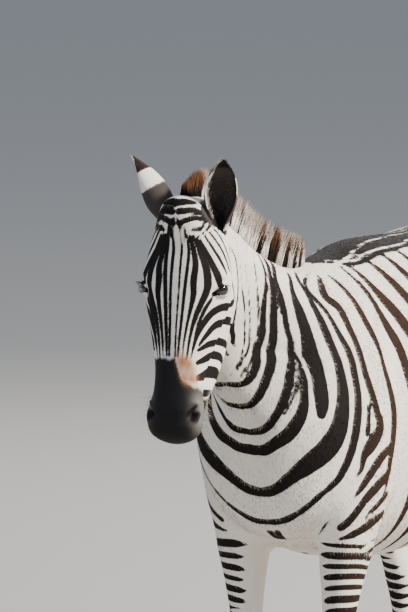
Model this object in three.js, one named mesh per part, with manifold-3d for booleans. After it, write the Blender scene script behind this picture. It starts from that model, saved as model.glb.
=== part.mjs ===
// A life-size plains zebra, standing still and square on its four hooves.
// Units are millimetres. +Z is up, the floor is z = 0, the animal faces -Y and its left side is +X.
// Inside this file a point of the body is (x, s, z): x to the animal's left, s forwards from the
// withers and z up. The flesh is one smooth field, below zero inside. It is cut into trunk, neck,
// head and legs, and each of them is a closed skin of rings whose points lie on that field.
import * as THREE from 'three';
import { mergeVertices } from 'three/addons/utils/BufferGeometryUtils.js';
import Module from 'manifold-3d';

const wasm = await Module();
wasm.setup();

// ---------------------------------------------------------------- driving dimensions
const BODY_MIDDLE = -256.4; // s of the origin: half way from the nose to the back of the tail
const GAP = 0.4; // clear space between two pieces that meet
const HEAD_PITCH = 79; // degrees that the face line points below the horizon
const POLL = { s: 552, z: 1489 }; // top of the head between the ears
const NECK_ROOT = { s: 60, z: 1130 }; // the neck's own axis starts here
const NECK_RISE = 37; // degrees that this axis climbs
const CHEST_CAP = 195; // the breast reaches this far ahead of the last barrel station
const RUMP_CAP = 172; // the buttocks reach this far behind the first one
const KNEE = 428; // height of the joint where the foreleg is divided
const HOCK = 488; // and of the hind leg's
const HOOF_TOP = 72; // height of the coronet
const EYE = { u: 193, v: -40, x: 84, radius: 21 };
const EAR_LENGTH = 174;
const EAR_WALL = 5;

// Sections of the barrel, from the croup to the shoulders: height of the back, of the widest
// line and of the belly, half the width there, and how square the upper and lower halves are.
const BARREL = [
  { at: -900, top: 1310, wide: 1035, low: 820, half: 216, over: 2.35, under: 2.1 },
  { at: -780, top: 1346, wide: 1015, low: 740, half: 246, over: 2.3, under: 2.1 },
  { at: -640, top: 1350, wide: 985, low: 668, half: 260, over: 2.15, under: 2.15 },
  { at: -480, top: 1344, wide: 950, low: 605, half: 271, over: 2.0, under: 2.15 },
  { at: -320, top: 1349, wide: 935, low: 575, half: 269, over: 1.95, under: 2.15 },
  { at: -160, top: 1347, wide: 940, low: 583, half: 246, over: 1.85, under: 2.1 },
  { at: -20, top: 1318, wide: 950, low: 606, half: 220, over: 1.75, under: 2.05 },
  { at: 60, top: 1290, wide: 950, low: 624, half: 208, over: 1.75, under: 2.1 },
  { at: 145, top: 1245, wide: 948, low: 668, half: 205, over: 1.8, under: 2.25 },
];

// Sections of the neck along its axis: how far the crest stands above the axis and the throat
// below it, where the neck is widest, and half its width.
const NECK = [
  { at: 0, crest: 190, throat: -300, wide: -60, half: 180 },
  { at: 60, crest: 168, throat: -312, wide: -70, half: 168 },
  { at: 124, crest: 131, throat: -306, wide: -75, half: 148 },
  { at: 193, crest: 86, throat: -262, wide: -65, half: 122 },
  { at: 260, crest: 68, throat: -180, wide: -45, half: 100 },
  { at: 330, crest: 62, throat: -135, wide: -32, half: 86 },
  { at: 402, crest: 61, throat: -118, wide: -26, half: 78 },
  { at: 480, crest: 44, throat: -108, wide: -24, half: 73 },
  { at: 560, crest: 12, throat: -100, wide: -30, half: 66 },
];

// The head has its own axes: u runs from the poll down the face and v stands out of the forehead.
// The upper block is cranium, nose and upper lip. The lower one is the jaw, down to the chin.
const SKULL = [
  { at: 5, top: -12, wide: -62, low: -126, half: 62, over: 2.2 },
  { at: 53, top: 9, wide: -54, low: -134, half: 80, over: 2.3 },
  { at: 106, top: 20, wide: -50, low: -136, half: 94, over: 2.3 },
  { at: 165, top: 24, wide: -58, low: -134, half: 101, over: 2.25 },
  { at: 212, top: 22, wide: -64, low: -130, half: 100, over: 2.2 },
  { at: 265, top: 18, wide: -62, low: -122, half: 87, over: 2.1 },
  { at: 318, top: 13, wide: -58, low: -112, half: 73, over: 2.1 },
  { at: 371, top: 8, wide: -52, low: -100, half: 61, over: 2.1 },
  { at: 424, top: 5, wide: -46, low: -92, half: 59, over: 2.1 },
  { at: 466, top: 4, wide: -44, low: -88, half: 66, over: 2.2 },
  { at: 500, top: -3, wide: -44, low: -84, half: 64, over: 2.2 },
];
const SKULL_CAP = { back: 22, front: 44 };
const JAW = [
  { at: 125, top: -84, wide: -140, low: -206, half: 61, over: 2.0 },
  { at: 185, top: -88, wide: -150, low: -230, half: 69, over: 2.0 },
  { at: 245, top: -84, wide: -150, low: -237, half: 69, over: 2.0 },
  { at: 307, top: -76, wide: -146, low: -236, half: 64, over: 2.0 },
  { at: 345, top: -72, wide: -138, low: -220, half: 60, over: 2.0 },
  { at: 385, top: -68, wide: -126, low: -192, half: 56, over: 2.0 },
  { at: 428, top: -66, wide: -108, low: -156, half: 50, over: 2.0 },
  { at: 470, top: -64, wide: -96, low: -128, half: 44, over: 2.0 },
];
const JAW_CAP = { back: 60, front: 34 };

// Sections of the legs by height: the front and back edges, the middle's distance from the
// animal's own middle, and half the width.
const FORELEG = [
  { at: 1080, front: 225, back: 10, x: 112, half: 66 },
  { at: 970, front: 240, back: -40, x: 122, half: 76 },
  { at: 870, front: 222, back: -52, x: 130, half: 76 },
  { at: 785, front: 202, back: -38, x: 134, half: 75 },
  { at: 710, front: 188, back: 0, x: 135, half: 71 },
  { at: 630, front: 178, back: 28, x: 131, half: 61 },
  { at: 585, front: 171, back: 44, x: 127, half: 53 },
  { at: 540, front: 165, back: 56, x: 124, half: 46 },
  { at: 500, front: 161, back: 65, x: 121, half: 41 },
  { at: 462, front: 157, back: 70, x: 119, half: 38 },
  { at: 428, front: 161, back: 67, x: 118, half: 43 },
  { at: 385, front: 150, back: 71, x: 117, half: 34 },
  { at: 310, front: 142, back: 81, x: 116, half: 27 },
  { at: 230, front: 140, back: 81, x: 115, half: 27 },
  { at: 185, front: 142, back: 75, x: 114, half: 31 },
  { at: 150, front: 144, back: 70, x: 114, half: 34 },
  { at: 110, front: 154, back: 90, x: 113, half: 29 },
  { at: 72, front: 172, back: 100, x: 113, half: 36 },
];
const HINDLEG = [
  { at: 1100, front: -720, back: -1048, x: 136, half: 88 },
  { at: 990, front: -690, back: -1072, x: 143, half: 94 },
  { at: 895, front: -676, back: -1064, x: 146, half: 90 },
  { at: 812, front: -688, back: -1036, x: 146, half: 80 },
  { at: 750, front: -720, back: -1008, x: 143, half: 70 },
  { at: 676, front: -776, back: -992, x: 138, half: 60 },
  { at: 614, front: -824, back: -998, x: 134, half: 51 },
  { at: 562, front: -866, back: -1020, x: 130, half: 44 },
  { at: 520, front: -902, back: -1046, x: 127, half: 40 },
  { at: 484, front: -926, back: -1052, x: 125, half: 41 },
  { at: 442, front: -946, back: -1042, x: 123, half: 40 },
  { at: 400, front: -960, back: -1036, x: 121, half: 35 },
  { at: 343, front: -967, back: -1032, x: 119, half: 29 },
  { at: 260, front: -970, back: -1030, x: 117, half: 28 },
  { at: 187, front: -968, back: -1034, x: 116, half: 31 },
  { at: 152, front: -960, back: -1036, x: 115, half: 34 },
  { at: 110, front: -946, back: -1010, x: 114, half: 29 },
  { at: 72, front: -928, back: -1002, x: 114, half: 36 },
];
const LEG_SQUARE = 2.2; // how square a leg's section is
const STRIDE = 235; // how far the right hind leg stands ahead of the left one
const STRIDE_FROM = 560; // all of it below this height, and less and less of it up to the hip
const STRIDE_TO = 1130;

// Swellings and hollows of the flesh: middle, reach along x, s and z, and height. The ones off
// the middle line come in pairs.
const MUSCLES = [
  { x: 196, s: 90, z: 1010, reach: [60, 90, 130], by: 10 }, // shoulder blade and upper arm
  { x: 150, s: 250, z: 950, reach: [60, 60, 70], by: 10 }, // point of the shoulder
  { x: 0, s: 335, z: 900, reach: [26, 60, 110], by: -10 }, // groove down the breast
  { x: 190, s: -20, z: 880, reach: [50, 70, 80], by: 10 }, // triceps, above the elbow
  { x: 225, s: -120, z: 940, reach: [50, 45, 130], by: -8 }, // hollow behind the shoulder
  { x: 225, s: -860, z: 1010, reach: [60, 120, 130], by: 14 }, // haunch
  { x: 240, s: -680, z: 880, reach: [60, 55, 90], by: -10 }, // flank, ahead of the thigh
  { x: 0, s: -1075, z: 1060, reach: [22, 70, 150], by: -22 }, // cleft between the buttocks
  { x: 85, s: 330, z: 1190, reach: [30, 110, 40], by: -8 }, // jugular furrow
];
// The same for the head, in its own axes.
const HEAD_SHAPES = [
  { x: 62, u: 205, v: -128, reach: [34, 66, 58], by: 12 }, // chewing muscle of the cheek
  { x: 98, u: 166, v: -26, reach: [24, 24, 18], by: 6 }, // bony rim over the eye
  { x: 64, u: 118, v: 2, reach: [20, 28, 22], by: -7 }, // hollow above the eye
  { x: 56, u: 285, v: -66, reach: [16, 62, 12], by: 5 }, // bony crest of the face
  { x: 46, u: 492, v: -26, reach: [17, 27, 20], by: 10 }, // wing of the nostril
  { x: 50, u: 497, v: -22, reach: [9, 15, 9], by: -18 }, // nostril
  { x: 0, u: 522, v: -62, reach: [36, 26, 22], by: 8 }, // upper lip
  { x: 0, u: 480, v: -120, reach: [24, 24, 18], by: 8 }, // chin
  { x: 52, u: 480, v: -94, reach: [20, 44, 5], by: -7 }, // corner and line of the mouth
  { x: 0, u: 320, v: -176, reach: [14, 90, 30], by: -10 }, // hollow between the jaw bones
];

// Where the pieces part. The neck leaves the trunk across a plane that leans back by NECK_CUT.lean
// and passes through the given point. The head is what lies ahead of a plane from behind the ears
// to the back of the jaw and above a second one under the jaw.
const NECK_CUT = { s: 223, z: 1137, lean: 37 };
const HEAD_CUT = { s: 468, z: 1490, toward: [0.947, -0.321] };
const THROAT_CUT = { s: 352, z: 1140, toward: [0.669, 0.743] }; // under the jaw, clear of it
const FORELEG_CUT = 620;
const HINDLEG_CUT = 640;

// The mane from the forelock to the withers. A section roots where a line from a point inside, at
// the given angle from upright towards the tail, comes out of the flesh. The hair leans by hair
// degrees towards the tail and stands as high as high.
const MANE = [
  { s: 524, z: 1440, out: -24, hair: 2, high: 30 },
  { s: 520, z: 1445, out: -10, hair: 18, high: 50 },
  { s: 500, z: 1440, out: 0, hair: 30, high: 72 },
  { s: 470, z: 1430, out: 6, hair: 35, high: 86 },
  { s: 426, z: 1400, out: 18, hair: 37, high: 94 },
  { s: 382, z: 1365, out: 30, hair: 38, high: 98 },
  { s: 340, z: 1325, out: 37, hair: 38, high: 101 },
  { s: 300, z: 1290, out: 37, hair: 38, high: 102 },
  { s: 260, z: 1260, out: 37, hair: 36, high: 101 },
  { s: 218, z: 1235, out: 34, hair: 33, high: 96 },
  { s: 176, z: 1215, out: 26, hair: 28, high: 86 },
  { s: 138, z: 1205, out: 16, hair: 22, high: 72 },
  { s: 104, z: 1200, out: 8, hair: 16, high: 54 },
  { s: 80, z: 1200, out: 2, hair: 12, high: 32 },
];
const MANE_WIDTH = { root: 23, top: 13, sink: 22 };
const TAIL_ROOT = { s: -985, z: 1236 };
const TUFT_END = 460; // height of the tip of the tail's long hair

// ---------------------------------------------------------------- curves through the tables
// A smooth curve through one column of a table, level beyond its two ends.
function column(rows, key) {
  const n = rows.length;
  const at = rows.map((row) => row.at);
  const value = rows.map((row) => row[key]);
  const slope = value.map((_, i) => {
    const a = Math.max(i - 1, 0);
    const b = Math.min(i + 1, n - 1);
    return (value[b] - value[a]) / (at[b] - at[a]);
  });
  return (t) => {
    const up = at[n - 1] > at[0];
    if (up ? t <= at[0] : t >= at[0]) return value[0];
    if (up ? t >= at[n - 1] : t <= at[n - 1]) return value[n - 1];
    let i = 0;
    while (up ? t > at[i + 1] : t < at[i + 1]) i += 1;
    const h = at[i + 1] - at[i];
    const k = (t - at[i]) / h;
    const k2 = k * k;
    const k3 = k2 * k;
    return value[i] * (2 * k3 - 3 * k2 + 1) + slope[i] * h * (k3 - 2 * k2 + k) +
      value[i + 1] * (3 * k2 - 2 * k3) + slope[i + 1] * h * (k3 - k2);
  };
}
const columns = (rows) =>
  Object.fromEntries(Object.keys(rows[0]).filter((k) => k !== 'at').map((k) => [k, column(rows, k)]));

const barrel = columns(BARREL);
const neck = columns(NECK);
const skull = columns(SKULL);
const jaw = columns(JAW);
const foreleg = columns(FORELEG);
const hindleg = columns(HINDLEG);

// ---------------------------------------------------------------- the flesh as one field
const toRadians = (degrees) => (degrees * Math.PI) / 180;

// About how far a point is outside a rounded section: across, up and (past an end) along, each
// as a share of the section's size there.
function outside(size, power, ...shares) {
  const r = Math.pow(shares.reduce((sum, q) => sum + Math.pow(Math.abs(q), power), 0), 1 / power);
  return r < 1e-6 ? -size : size - size / r;
}

function smoothUnion(a, b, round) {
  const h = Math.max(round - Math.abs(a - b), 0) / round;
  return Math.min(a, b) - (h * h * round) / 4;
}

function barrelField(x, s, z) {
  const first = BARREL[0].at;
  const last = BARREL[BARREL.length - 1].at;
  const c = Math.min(Math.max(s, first), last);
  const past = s > last ? (s - last) / CHEST_CAP : s < first ? (first - s) / RUMP_CAP : 0;
  const wide = barrel.wide(c);
  const upper = z > wide;
  const high = upper ? barrel.top(c) - wide : wide - barrel.low(c);
  const power = upper ? barrel.over(c) : barrel.under(c);
  return outside(Math.hypot(x, z - wide, s - c), power, x / barrel.half(c), (z - wide) / high, past);
}

const NECK_ALONG = [Math.cos(toRadians(NECK_RISE)), Math.sin(toRadians(NECK_RISE))];
const neckPlace = (s, z) => [
  (s - NECK_ROOT.s) * NECK_ALONG[0] + (z - NECK_ROOT.z) * NECK_ALONG[1],
  (z - NECK_ROOT.z) * NECK_ALONG[0] - (s - NECK_ROOT.s) * NECK_ALONG[1],
];

function neckField(x, s, z) {
  const [t, c] = neckPlace(s, z);
  const last = NECK[NECK.length - 1].at;
  const k = Math.min(Math.max(t, 0), last);
  const past = t > last ? (t - last) / 90 : t < 0 ? -t / 120 : 0;
  const wide = neck.wide(k);
  const high = c > wide ? neck.crest(k) - wide : wide - neck.throat(k);
  const power = c > wide ? 1.85 : 2.15;
  return outside(Math.hypot(x, c - wide, t - k), power, x / neck.half(k), (c - wide) / high, past);
}

const FACE = [Math.cos(toRadians(HEAD_PITCH)), Math.sin(toRadians(HEAD_PITCH))];
const headPlace = (s, z) => [
  (s - POLL.s) * FACE[0] - (z - POLL.z) * FACE[1],
  (s - POLL.s) * FACE[1] + (z - POLL.z) * FACE[0],
];
const fromHead = (u, v) => [POLL.s + u * FACE[0] + v * FACE[1], POLL.z - u * FACE[1] + v * FACE[0]];

function headBlock(x, u, v, rows, curves, cap, under) {
  const first = rows[0].at;
  const last = rows[rows.length - 1].at;
  const c = Math.min(Math.max(u, first), last);
  const past = u > last ? (u - last) / cap.front : u < first ? (first - u) / cap.back : 0;
  const wide = curves.wide(c);
  const high = v > wide ? curves.top(c) - wide : wide - curves.low(c);
  const power = v > wide ? curves.over(c) : under;
  return outside(Math.hypot(x, v - wide, u - c), power, x / curves.half(c), (v - wide) / high, past);
}

function swelling(point, at, reach, by) {
  const far = point.reduce((sum, q, k) => sum + ((q - at[k]) / reach[k]) ** 2, 0);
  return by * Math.exp(-far);
}

function headField(x, s, z) {
  const [u, v] = headPlace(s, z);
  const upper = headBlock(x, u, v, SKULL, skull, SKULL_CAP, 2.1);
  const lower = headBlock(x, u, v, JAW, jaw, JAW_CAP, 2.1);
  let f = smoothUnion(upper, lower, 22);
  for (const m of HEAD_SHAPES) f -= swelling([Math.abs(x), u, v], [m.x, m.u, m.v], m.reach, m.by);
  return f;
}

function legField(x, s, z, rows, curves) {
  const high = rows[0].at;
  const low = rows[rows.length - 1].at;
  const c = Math.min(Math.max(z, low), high);
  const front = curves.front(c);
  const back = curves.back(c);
  const past = z > high ? (z - high) / 60 : z < low ? (low - z) / 30 : 0;
  const across = Math.abs(x) - curves.x(c);
  const along = s - (front + back) / 2;
  const shares = [across / curves.half(c), (2 * along) / (front - back), past];
  return outside(Math.hypot(across, along, z - c), LEG_SQUARE, ...shares);
}

const foreField = (x, s, z) => legField(x, s, z, FORELEG, foreleg);
const smoothStep = (k) => {
  const c = Math.min(Math.max(k, 0), 1);
  return c * c * (3 - 2 * c);
};
const stride = (x, z) =>
  (x < 0 ? STRIDE * (1 - smoothStep((z - STRIDE_FROM) / (STRIDE_TO - STRIDE_FROM))) : 0);
const hindField = (x, s, z) => legField(x, s - stride(x, z), z, HINDLEG, hindleg);

function swellings(x, s, z) {
  let sum = 0;
  for (const m of MUSCLES) sum += swelling([Math.abs(x), s, z], [m.x, m.s, m.z], m.reach, m.by);
  return sum;
}

// Trunk, neck and head as one, with the tops of the legs worked into the sides of the trunk.
const SHOULDER_FLOOR = 715; // the trunk takes in no more of the leg than what lies above this
function bodyField(x, s, z) {
  let f = smoothUnion(barrelField(x, s, z), neckField(x, s, z), 70);
  f = smoothUnion(f, headField(x, s, z), 34);
  const below = SHOULDER_FLOOR - z;
  f = smoothUnion(f, -smoothUnion(-foreField(x, s, z), -below, 90), 60);
  f = smoothUnion(f, -smoothUnion(-hindField(x, s, z), -below, 90), 60);
  return f - swellings(x, s, z);
}

// ---------------------------------------------------------------- rings on the field
// How far from a point a ray leaves the field.
function reachOf(field, from, way, most = 900) {
  const value = (d) => field(from[0] + way[0] * d, from[1] + way[1] * d, from[2] + way[2] * d);
  let inner = 0;
  let outer = 6;
  while (outer < most && value(outer) < 0) {
    inner = outer;
    outer += 6;
  }
  for (let i = 0; i < 14; i += 1) {
    const middle = (inner + outer) / 2;
    if (value(middle) < 0) inner = middle;
    else outer = middle;
  }
  return inner;
}

// Points all round a centre, where rays in a leaning plane leave the field. lean turns the plane's
// upper edge back, and fan turns the rays out of the plane, towards the ring's own front.
function ringOn(field, { s, z, x = 0, lean = 0, fan = 0, twist = 0 }, sides) {
  const up = [0, -Math.sin(toRadians(lean)), Math.cos(toRadians(lean))];
  const ahead = [0, Math.cos(toRadians(lean)), Math.sin(toRadians(lean))];
  const [flat, out] = [Math.cos(toRadians(fan)), Math.sin(toRadians(fan))];
  return Array.from({ length: sides }, (_, i) => {
    const a = (2 * Math.PI * (i + twist)) / sides;
    const way = [
      Math.sin(a) * flat,
      up[1] * Math.cos(a) * flat + ahead[1] * out,
      up[2] * Math.cos(a) * flat + ahead[2] * out,
    ];
    const d = reachOf(field, [x, s, z], way);
    return [x + way[0] * d, s + way[1] * d, z + way[2] * d];
  });
}

const average = (ring) => [0, 1, 2].map((k) => ring.reduce((sum, p) => sum + p[k], 0) / ring.length);

// A closed skin over rings of equal count, with a fan of triangles at each end. A tip, where it is
// given, is the point that the fan at that end meets in.
function skinOf(rings, { startTip, endTip } = {}) {
  const sides = rings[0].length;
  const points = [...rings.flat(), startTip ?? average(rings[0]), endTip ?? average(rings.at(-1))];
  const start = points.length - 2;
  const end = points.length - 1;
  const lastRing = (rings.length - 1) * sides;
  const faces = [];
  for (let k = 0; k < rings.length - 1; k += 1) {
    for (let i = 0; i < sides; i += 1) {
      const a = k * sides + i;
      const b = k * sides + ((i + 1) % sides);
      faces.push([a, b, b + sides], [a, b + sides, a + sides]);
    }
  }
  for (let i = 0; i < sides; i += 1) {
    const j = (i + 1) % sides;
    faces.push([start, j, i], [end, lastRing + i, lastRing + j]);
  }
  return solid(points, faces);
}

// The head is carried a little to the animal's right and turned back to its left. The neck takes
// up the difference, from none at its root to all of it at the head.
const HEAD_ASIDE = -58;
const HEAD_YAW = 5;
const beyond = (cut, s, z) => (s - cut.s) * cut.toward[0] + (z - cut.z) * cut.toward[1];
const withinHead = (s, z) => Math.min(beyond(HEAD_CUT, s, z), beyond(THROAT_CUT, s, z));

function carried([x, s, z]) {
  const lean = toRadians(NECK_CUT.lean);
  const fromNeck = (s - NECK_CUT.s) * Math.cos(lean) + (z - NECK_CUT.z) * Math.sin(lean);
  if (fromNeck <= 0) return [x, s, z];
  const toHead = Math.max(-withinHead(s, z), 0);
  const share = smoothStep(fromNeck / (fromNeck + toHead));
  const yaw = toRadians(HEAD_YAW * share);
  const ahead = s - POLL.s;
  return [
    x * Math.cos(yaw) + ahead * Math.sin(yaw) + HEAD_ASIDE * share,
    POLL.s + ahead * Math.cos(yaw) - x * Math.sin(yaw),
    z,
  ];
}

// (x, s, z) of the body to the model's own x, y, z.
const toWorld = (point) => {
  const [x, s, z] = carried(point);
  return [x, BODY_MIDDLE - s, z];
};

function solid(points, faces) {
  const vertProperties = new Float32Array(points.flatMap(toWorld));
  const make = (list) => new wasm.Manifold(
    new wasm.Mesh({ numProp: 3, vertProperties, triVerts: new Uint32Array(list.flat()) }));
  const made = make(faces);
  return made.volume() > 0 ? made : make(faces.map(([a, b, c]) => [a, c, b]));
}

// A geometry class's own shape, placed in the body, as a solid.
function solidOf(geometry) {
  const bare = geometry.clone();
  bare.deleteAttribute('normal');
  bare.deleteAttribute('uv');
  const merged = mergeVertices(bare, 1e-3);
  return new wasm.Manifold(new wasm.Mesh({
    numProp: 3,
    vertProperties: new Float32Array(merged.attributes.position.array),
    triVerts: new Uint32Array(merged.index.array),
  }));
}

// What is left of a solid in its largest body, after any slivers of a cut.
const largest = (made) => made.decompose().reduce((a, b) => (a.volume() > b.volume() ? a : b));

// A wedge with its two faces on the planes that bound the head, moved out of the head by by.
function headWedge(by) {
  const size = 3000;
  const [near, under] = [HEAD_CUT, THROAT_CUT].map((cut) => {
    const [ws, wz] = cut.toward;
    const yaw = toRadians(HEAD_YAW);
    const normal = new THREE.Vector3(ws * Math.sin(yaw), -ws * Math.cos(yaw), wz).normalize();
    const block = new THREE.BoxGeometry(size, size, size);
    block.translate(0, 0, size / 2 - by);
    block.applyQuaternion(new THREE.Quaternion().setFromUnitVectors(new THREE.Vector3(0, 0, 1), normal));
    block.translate(...toWorld([0, cut.s, cut.z]));
    return solidOf(block);
  });
  return near.intersect(under);
}

// ---------------------------------------------------------------- trunk, neck and head
const BODY_SIDES = 26;
const FAT = 0.9; // a neighbour is cut back by a skin this much larger
const grown = (field, by) => (x, s, z) => field(x, s, z) - by;

// The rings of the breast fan out from a line above the withers. The last one lies in the plane
// that the neck is cut at.
const FAN_REACH = 354;
const FAN_LINE = {
  s: NECK_CUT.s - FAN_REACH * Math.sin(toRadians(NECK_CUT.lean)),
  z: NECK_CUT.z + FAN_REACH * Math.cos(toRadians(NECK_CUT.lean)),
};
const breastRing = (lean) => {
  const reach = FAN_REACH + 76 * (1 - lean / NECK_CUT.lean);
  const a = toRadians(lean);
  return { s: FAN_LINE.s + reach * Math.sin(a), z: FAN_LINE.z - reach * Math.cos(a), lean };
};
const TRUNK_AXIS = 1000;
const RUMP = { s: -900, z: 1040 };

function trunkSolid(field, past = 0) {
  const rump = [-74, -56, -40, -24, -10].map((fan) => ({ ...RUMP, fan }));
  const flank = [-880, -820, -760, -700, -630, -555, -480, -400, -320, -240, -165, -95, -40]
    .map((s) => ({ s, z: TRUNK_AXIS - 60 * smoothStep((s + 900) / 400) }));
  const breast = [6, 12, 18, 24, 30, 34, NECK_CUT.lean].map(breastRing);
  if (past) breast.push({ ...breastRing(NECK_CUT.lean), s: NECK_CUT.s + past });
  const rings = [...rump, ...flank, ...breast].map((place) => ringOn(field, place, BODY_SIDES));
  const tail = reachOf(field, [0, RUMP.s, RUMP.z], [0, -1, 0]);
  return skinOf(rings, { startTip: [0, RUMP.s - tail, RUMP.z] });
}

const CUT_MARGIN = 60; // both meshes run this far past the cut before it is made

function neckSolid(field, { start = GAP, end = GAP } = {}) {
  const kept = (x, s, z) => Math.max(field(x, s, z), withinHead(s, z) - CUT_MARGIN);
  const a = toRadians(NECK_CUT.lean);
  const root = {
    s: NECK_CUT.s + start * Math.cos(a),
    z: NECK_CUT.z + start * Math.sin(a),
    lean: NECK_CUT.lean,
  };
  const along = [226, 262, 300, 340, 380, 420, 460, 500, 535].map((t) => ({
    s: NECK_ROOT.s + t * NECK_ALONG[0] + 24 * NECK_ALONG[1],
    z: NECK_ROOT.z + t * NECK_ALONG[1] - 24 * NECK_ALONG[0],
    lean: NECK_RISE,
  }));
  const rings = [root, ...along].map((place) => ringOn(kept, place, BODY_SIDES));
  return largest(skinOf(rings).subtract(headWedge(end / 2)));
}

const HEAD_SIDES = 28;
function headSolid(field, cutBack = GAP) {
  const kept = (x, s, z) => Math.max(field(x, s, z), -withinHead(s, z) - CUT_MARGIN);
  const ring = (u, fan = 0) => {
    const v = -52 - 10 * Math.sin((Math.PI * Math.min(u, 400)) / 400);
    const [s, z] = fromHead(u, v);
    return ringOn(kept, { s, z, lean: -HEAD_PITCH, fan }, HEAD_SIDES);
  };
  const crown = [-70, -50, -32, -15].map((fan) => ring(36, fan));
  const face = [
    36, 56, 76, 96, 116, 136, 156, 176, 196, 218, 240, 264, 290, 316, 342, 368, 392, 414, 436, 458, 476, 490,
  ].map((u) => ring(u));
  const muzzle = [14, 28, 42, 56, 72].map((fan) => ring(494, fan));
  const tipOf = (u, sign) => {
    const v = -52 - 10 * Math.sin((Math.PI * Math.min(u, 400)) / 400);
    const [s, z] = fromHead(u, v);
    const way = [0, FACE[0] * sign, -FACE[1] * sign];
    const d = reachOf(kept, [0, s, z], way);
    return [0, s + way[1] * d, z + way[2] * d];
  };
  const whole = skinOf([...crown, ...face, ...muzzle], { startTip: tipOf(36, -1), endTip: tipOf(494, 1) });
  return largest(whole.intersect(headWedge(-cutBack / 2)));
}

// ---------------------------------------------------------------- eyes and ears
function eyeball(side, radius) {
  const [s, z] = fromHead(EYE.u, EYE.v);
  const ball = new THREE.SphereGeometry(radius, 12, 9);
  return solidOf(ball.translate(...toWorld([side * EYE.x, s, z])));
}

// An ear is a long cup, open on the side that it faces: at each height a curved wall that runs
// round its back from one edge to the other.
const EAR = [
  { at: 0, radius: 25, wrap: 150, deep: 1.0 },
  { at: 0.16, radius: 30, wrap: 142, deep: 1.0 },
  { at: 0.34, radius: 37, wrap: 118, deep: 0.92 },
  { at: 0.52, radius: 39.5, wrap: 102, deep: 0.82 },
  { at: 0.7, radius: 35, wrap: 94, deep: 0.72 },
  { at: 0.86, radius: 23, wrap: 90, deep: 0.62 },
  { at: 0.96, radius: 10.5, wrap: 88, deep: 0.6 },
  { at: 1, radius: 5.2, wrap: 86, deep: 0.7 },
];
const ear = columns(EAR);
// Where each ear stands on the head and how it is turned: lean outwards from the head's upright,
// tilt back, the way that its opening faces at the foot, outwards from straight ahead, and how much
// further it is turned at the tip.
const EARS = {
  left: { side: 1, base: { u: 50, v: -46, x: 67 }, lean: 14, tilt: -22, faces: 28, twist: 0 },
  right: { side: -1, base: { u: 40, v: -46, x: 46 }, lean: 34, tilt: 0, faces: 125, twist: -50 },
};

function earSolid({ side, base, lean, tilt, faces, twist }) {
  const WALL_STEPS = 7;
  const turn = new THREE.Matrix4().makeRotationZ(toRadians(side * faces));
  turn.premultiply(new THREE.Matrix4().makeRotationX(toRadians(-tilt)));
  turn.premultiply(new THREE.Matrix4().makeRotationY(toRadians(side * lean)));
  const [s, z] = fromHead(base.u, base.v);
  const foot = new THREE.Vector3(side * base.x, -s, z);
  const rings = [0, 0.12, 0.26, 0.42, 0.57, 0.7, 0.82, 0.91, 0.97, 1].map((t) => {
    const r = ear.radius(t);
    const wrap = toRadians(ear.wrap(t));
    const wall = Math.min(EAR_WALL, r * 0.45);
    const arc = (radius, from, to) => Array.from({ length: WALL_STEPS }, (_, i) => {
      const a = from + ((to - from) * i) / (WALL_STEPS - 1);
      return [radius * Math.sin(a), radius * ear.deep(t) * Math.cos(a)];
    });
    const outline = [...arc(r, -wrap, wrap), ...arc(r - wall, wrap, -wrap)];
    const more = new THREE.Matrix4().makeRotationZ(toRadians(side * twist * t));
    return outline.map(([across, back]) => new THREE.Vector3(across, back, t * EAR_LENGTH)
      .applyMatrix4(more).applyMatrix4(turn).add(foot));
  });
  const bodyPoint = (p) => [p.x, -p.y, p.z];
  return stripSkin(rings.map((ring) => ring.map(bodyPoint)));
}

// A closed skin over C-shaped rings, whose two ends are strips between the outer and inner walls.
function stripSkin(rings) {
  const sides = rings[0].length;
  const half = sides / 2;
  const points = rings.flat();
  const faces = [];
  for (let k = 0; k < rings.length - 1; k += 1) {
    for (let i = 0; i < sides; i += 1) {
      const a = k * sides + i;
      const b = k * sides + ((i + 1) % sides);
      faces.push([a, b, b + sides], [a, b + sides, a + sides]);
    }
  }
  const end = (rings.length - 1) * sides;
  for (let i = 0; i < half - 1; i += 1) {
    const [a, b, c, d] = [i, i + 1, sides - 2 - i, sides - 1 - i];
    faces.push([a, c, b], [a, d, c], [end + a, end + b, end + c], [end + a, end + c, end + d]);
  }
  return solid(points, faces);
}

// ---------------------------------------------------------------- legs and hooves
const LEG_SIDES = 12;
function legSolid(side, rows, curves, heights) {
  const moved = rows === HINDLEG ? (z) => stride(side, z) : () => 0;
  const own = (x, s, z) => legField(x, s - moved(z), z, rows, curves);
  const rings = heights.map((z) => {
    const place = [side * curves.x(z), (curves.front(z) + curves.back(z)) / 2 + moved(z), z];
    return Array.from({ length: LEG_SIDES }, (_, i) => {
      const a = (2 * Math.PI * i) / LEG_SIDES;
      const way = [Math.sin(a), Math.cos(a), 0];
      const bare = reachOf(own, place, way);
      const blended = reachOf(
        (x, s, zz) => smoothUnion(own(x, s, zz), bodyField(x, s, zz), 46), place, way, bare * 1.3);
      const d = z > SHOULDER_FLOOR + 20 ? bare * 0.93 : Math.min(blended, bare * 1.12);
      return [place[0] + way[0] * d, place[1] + way[1] * d, z];
    });
  });
  return skinOf(rings);
}

const spread = (from, to, count) =>
  Array.from({ length: count }, (_, i) => from + ((to - from) * i) / (count - 1));

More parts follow.
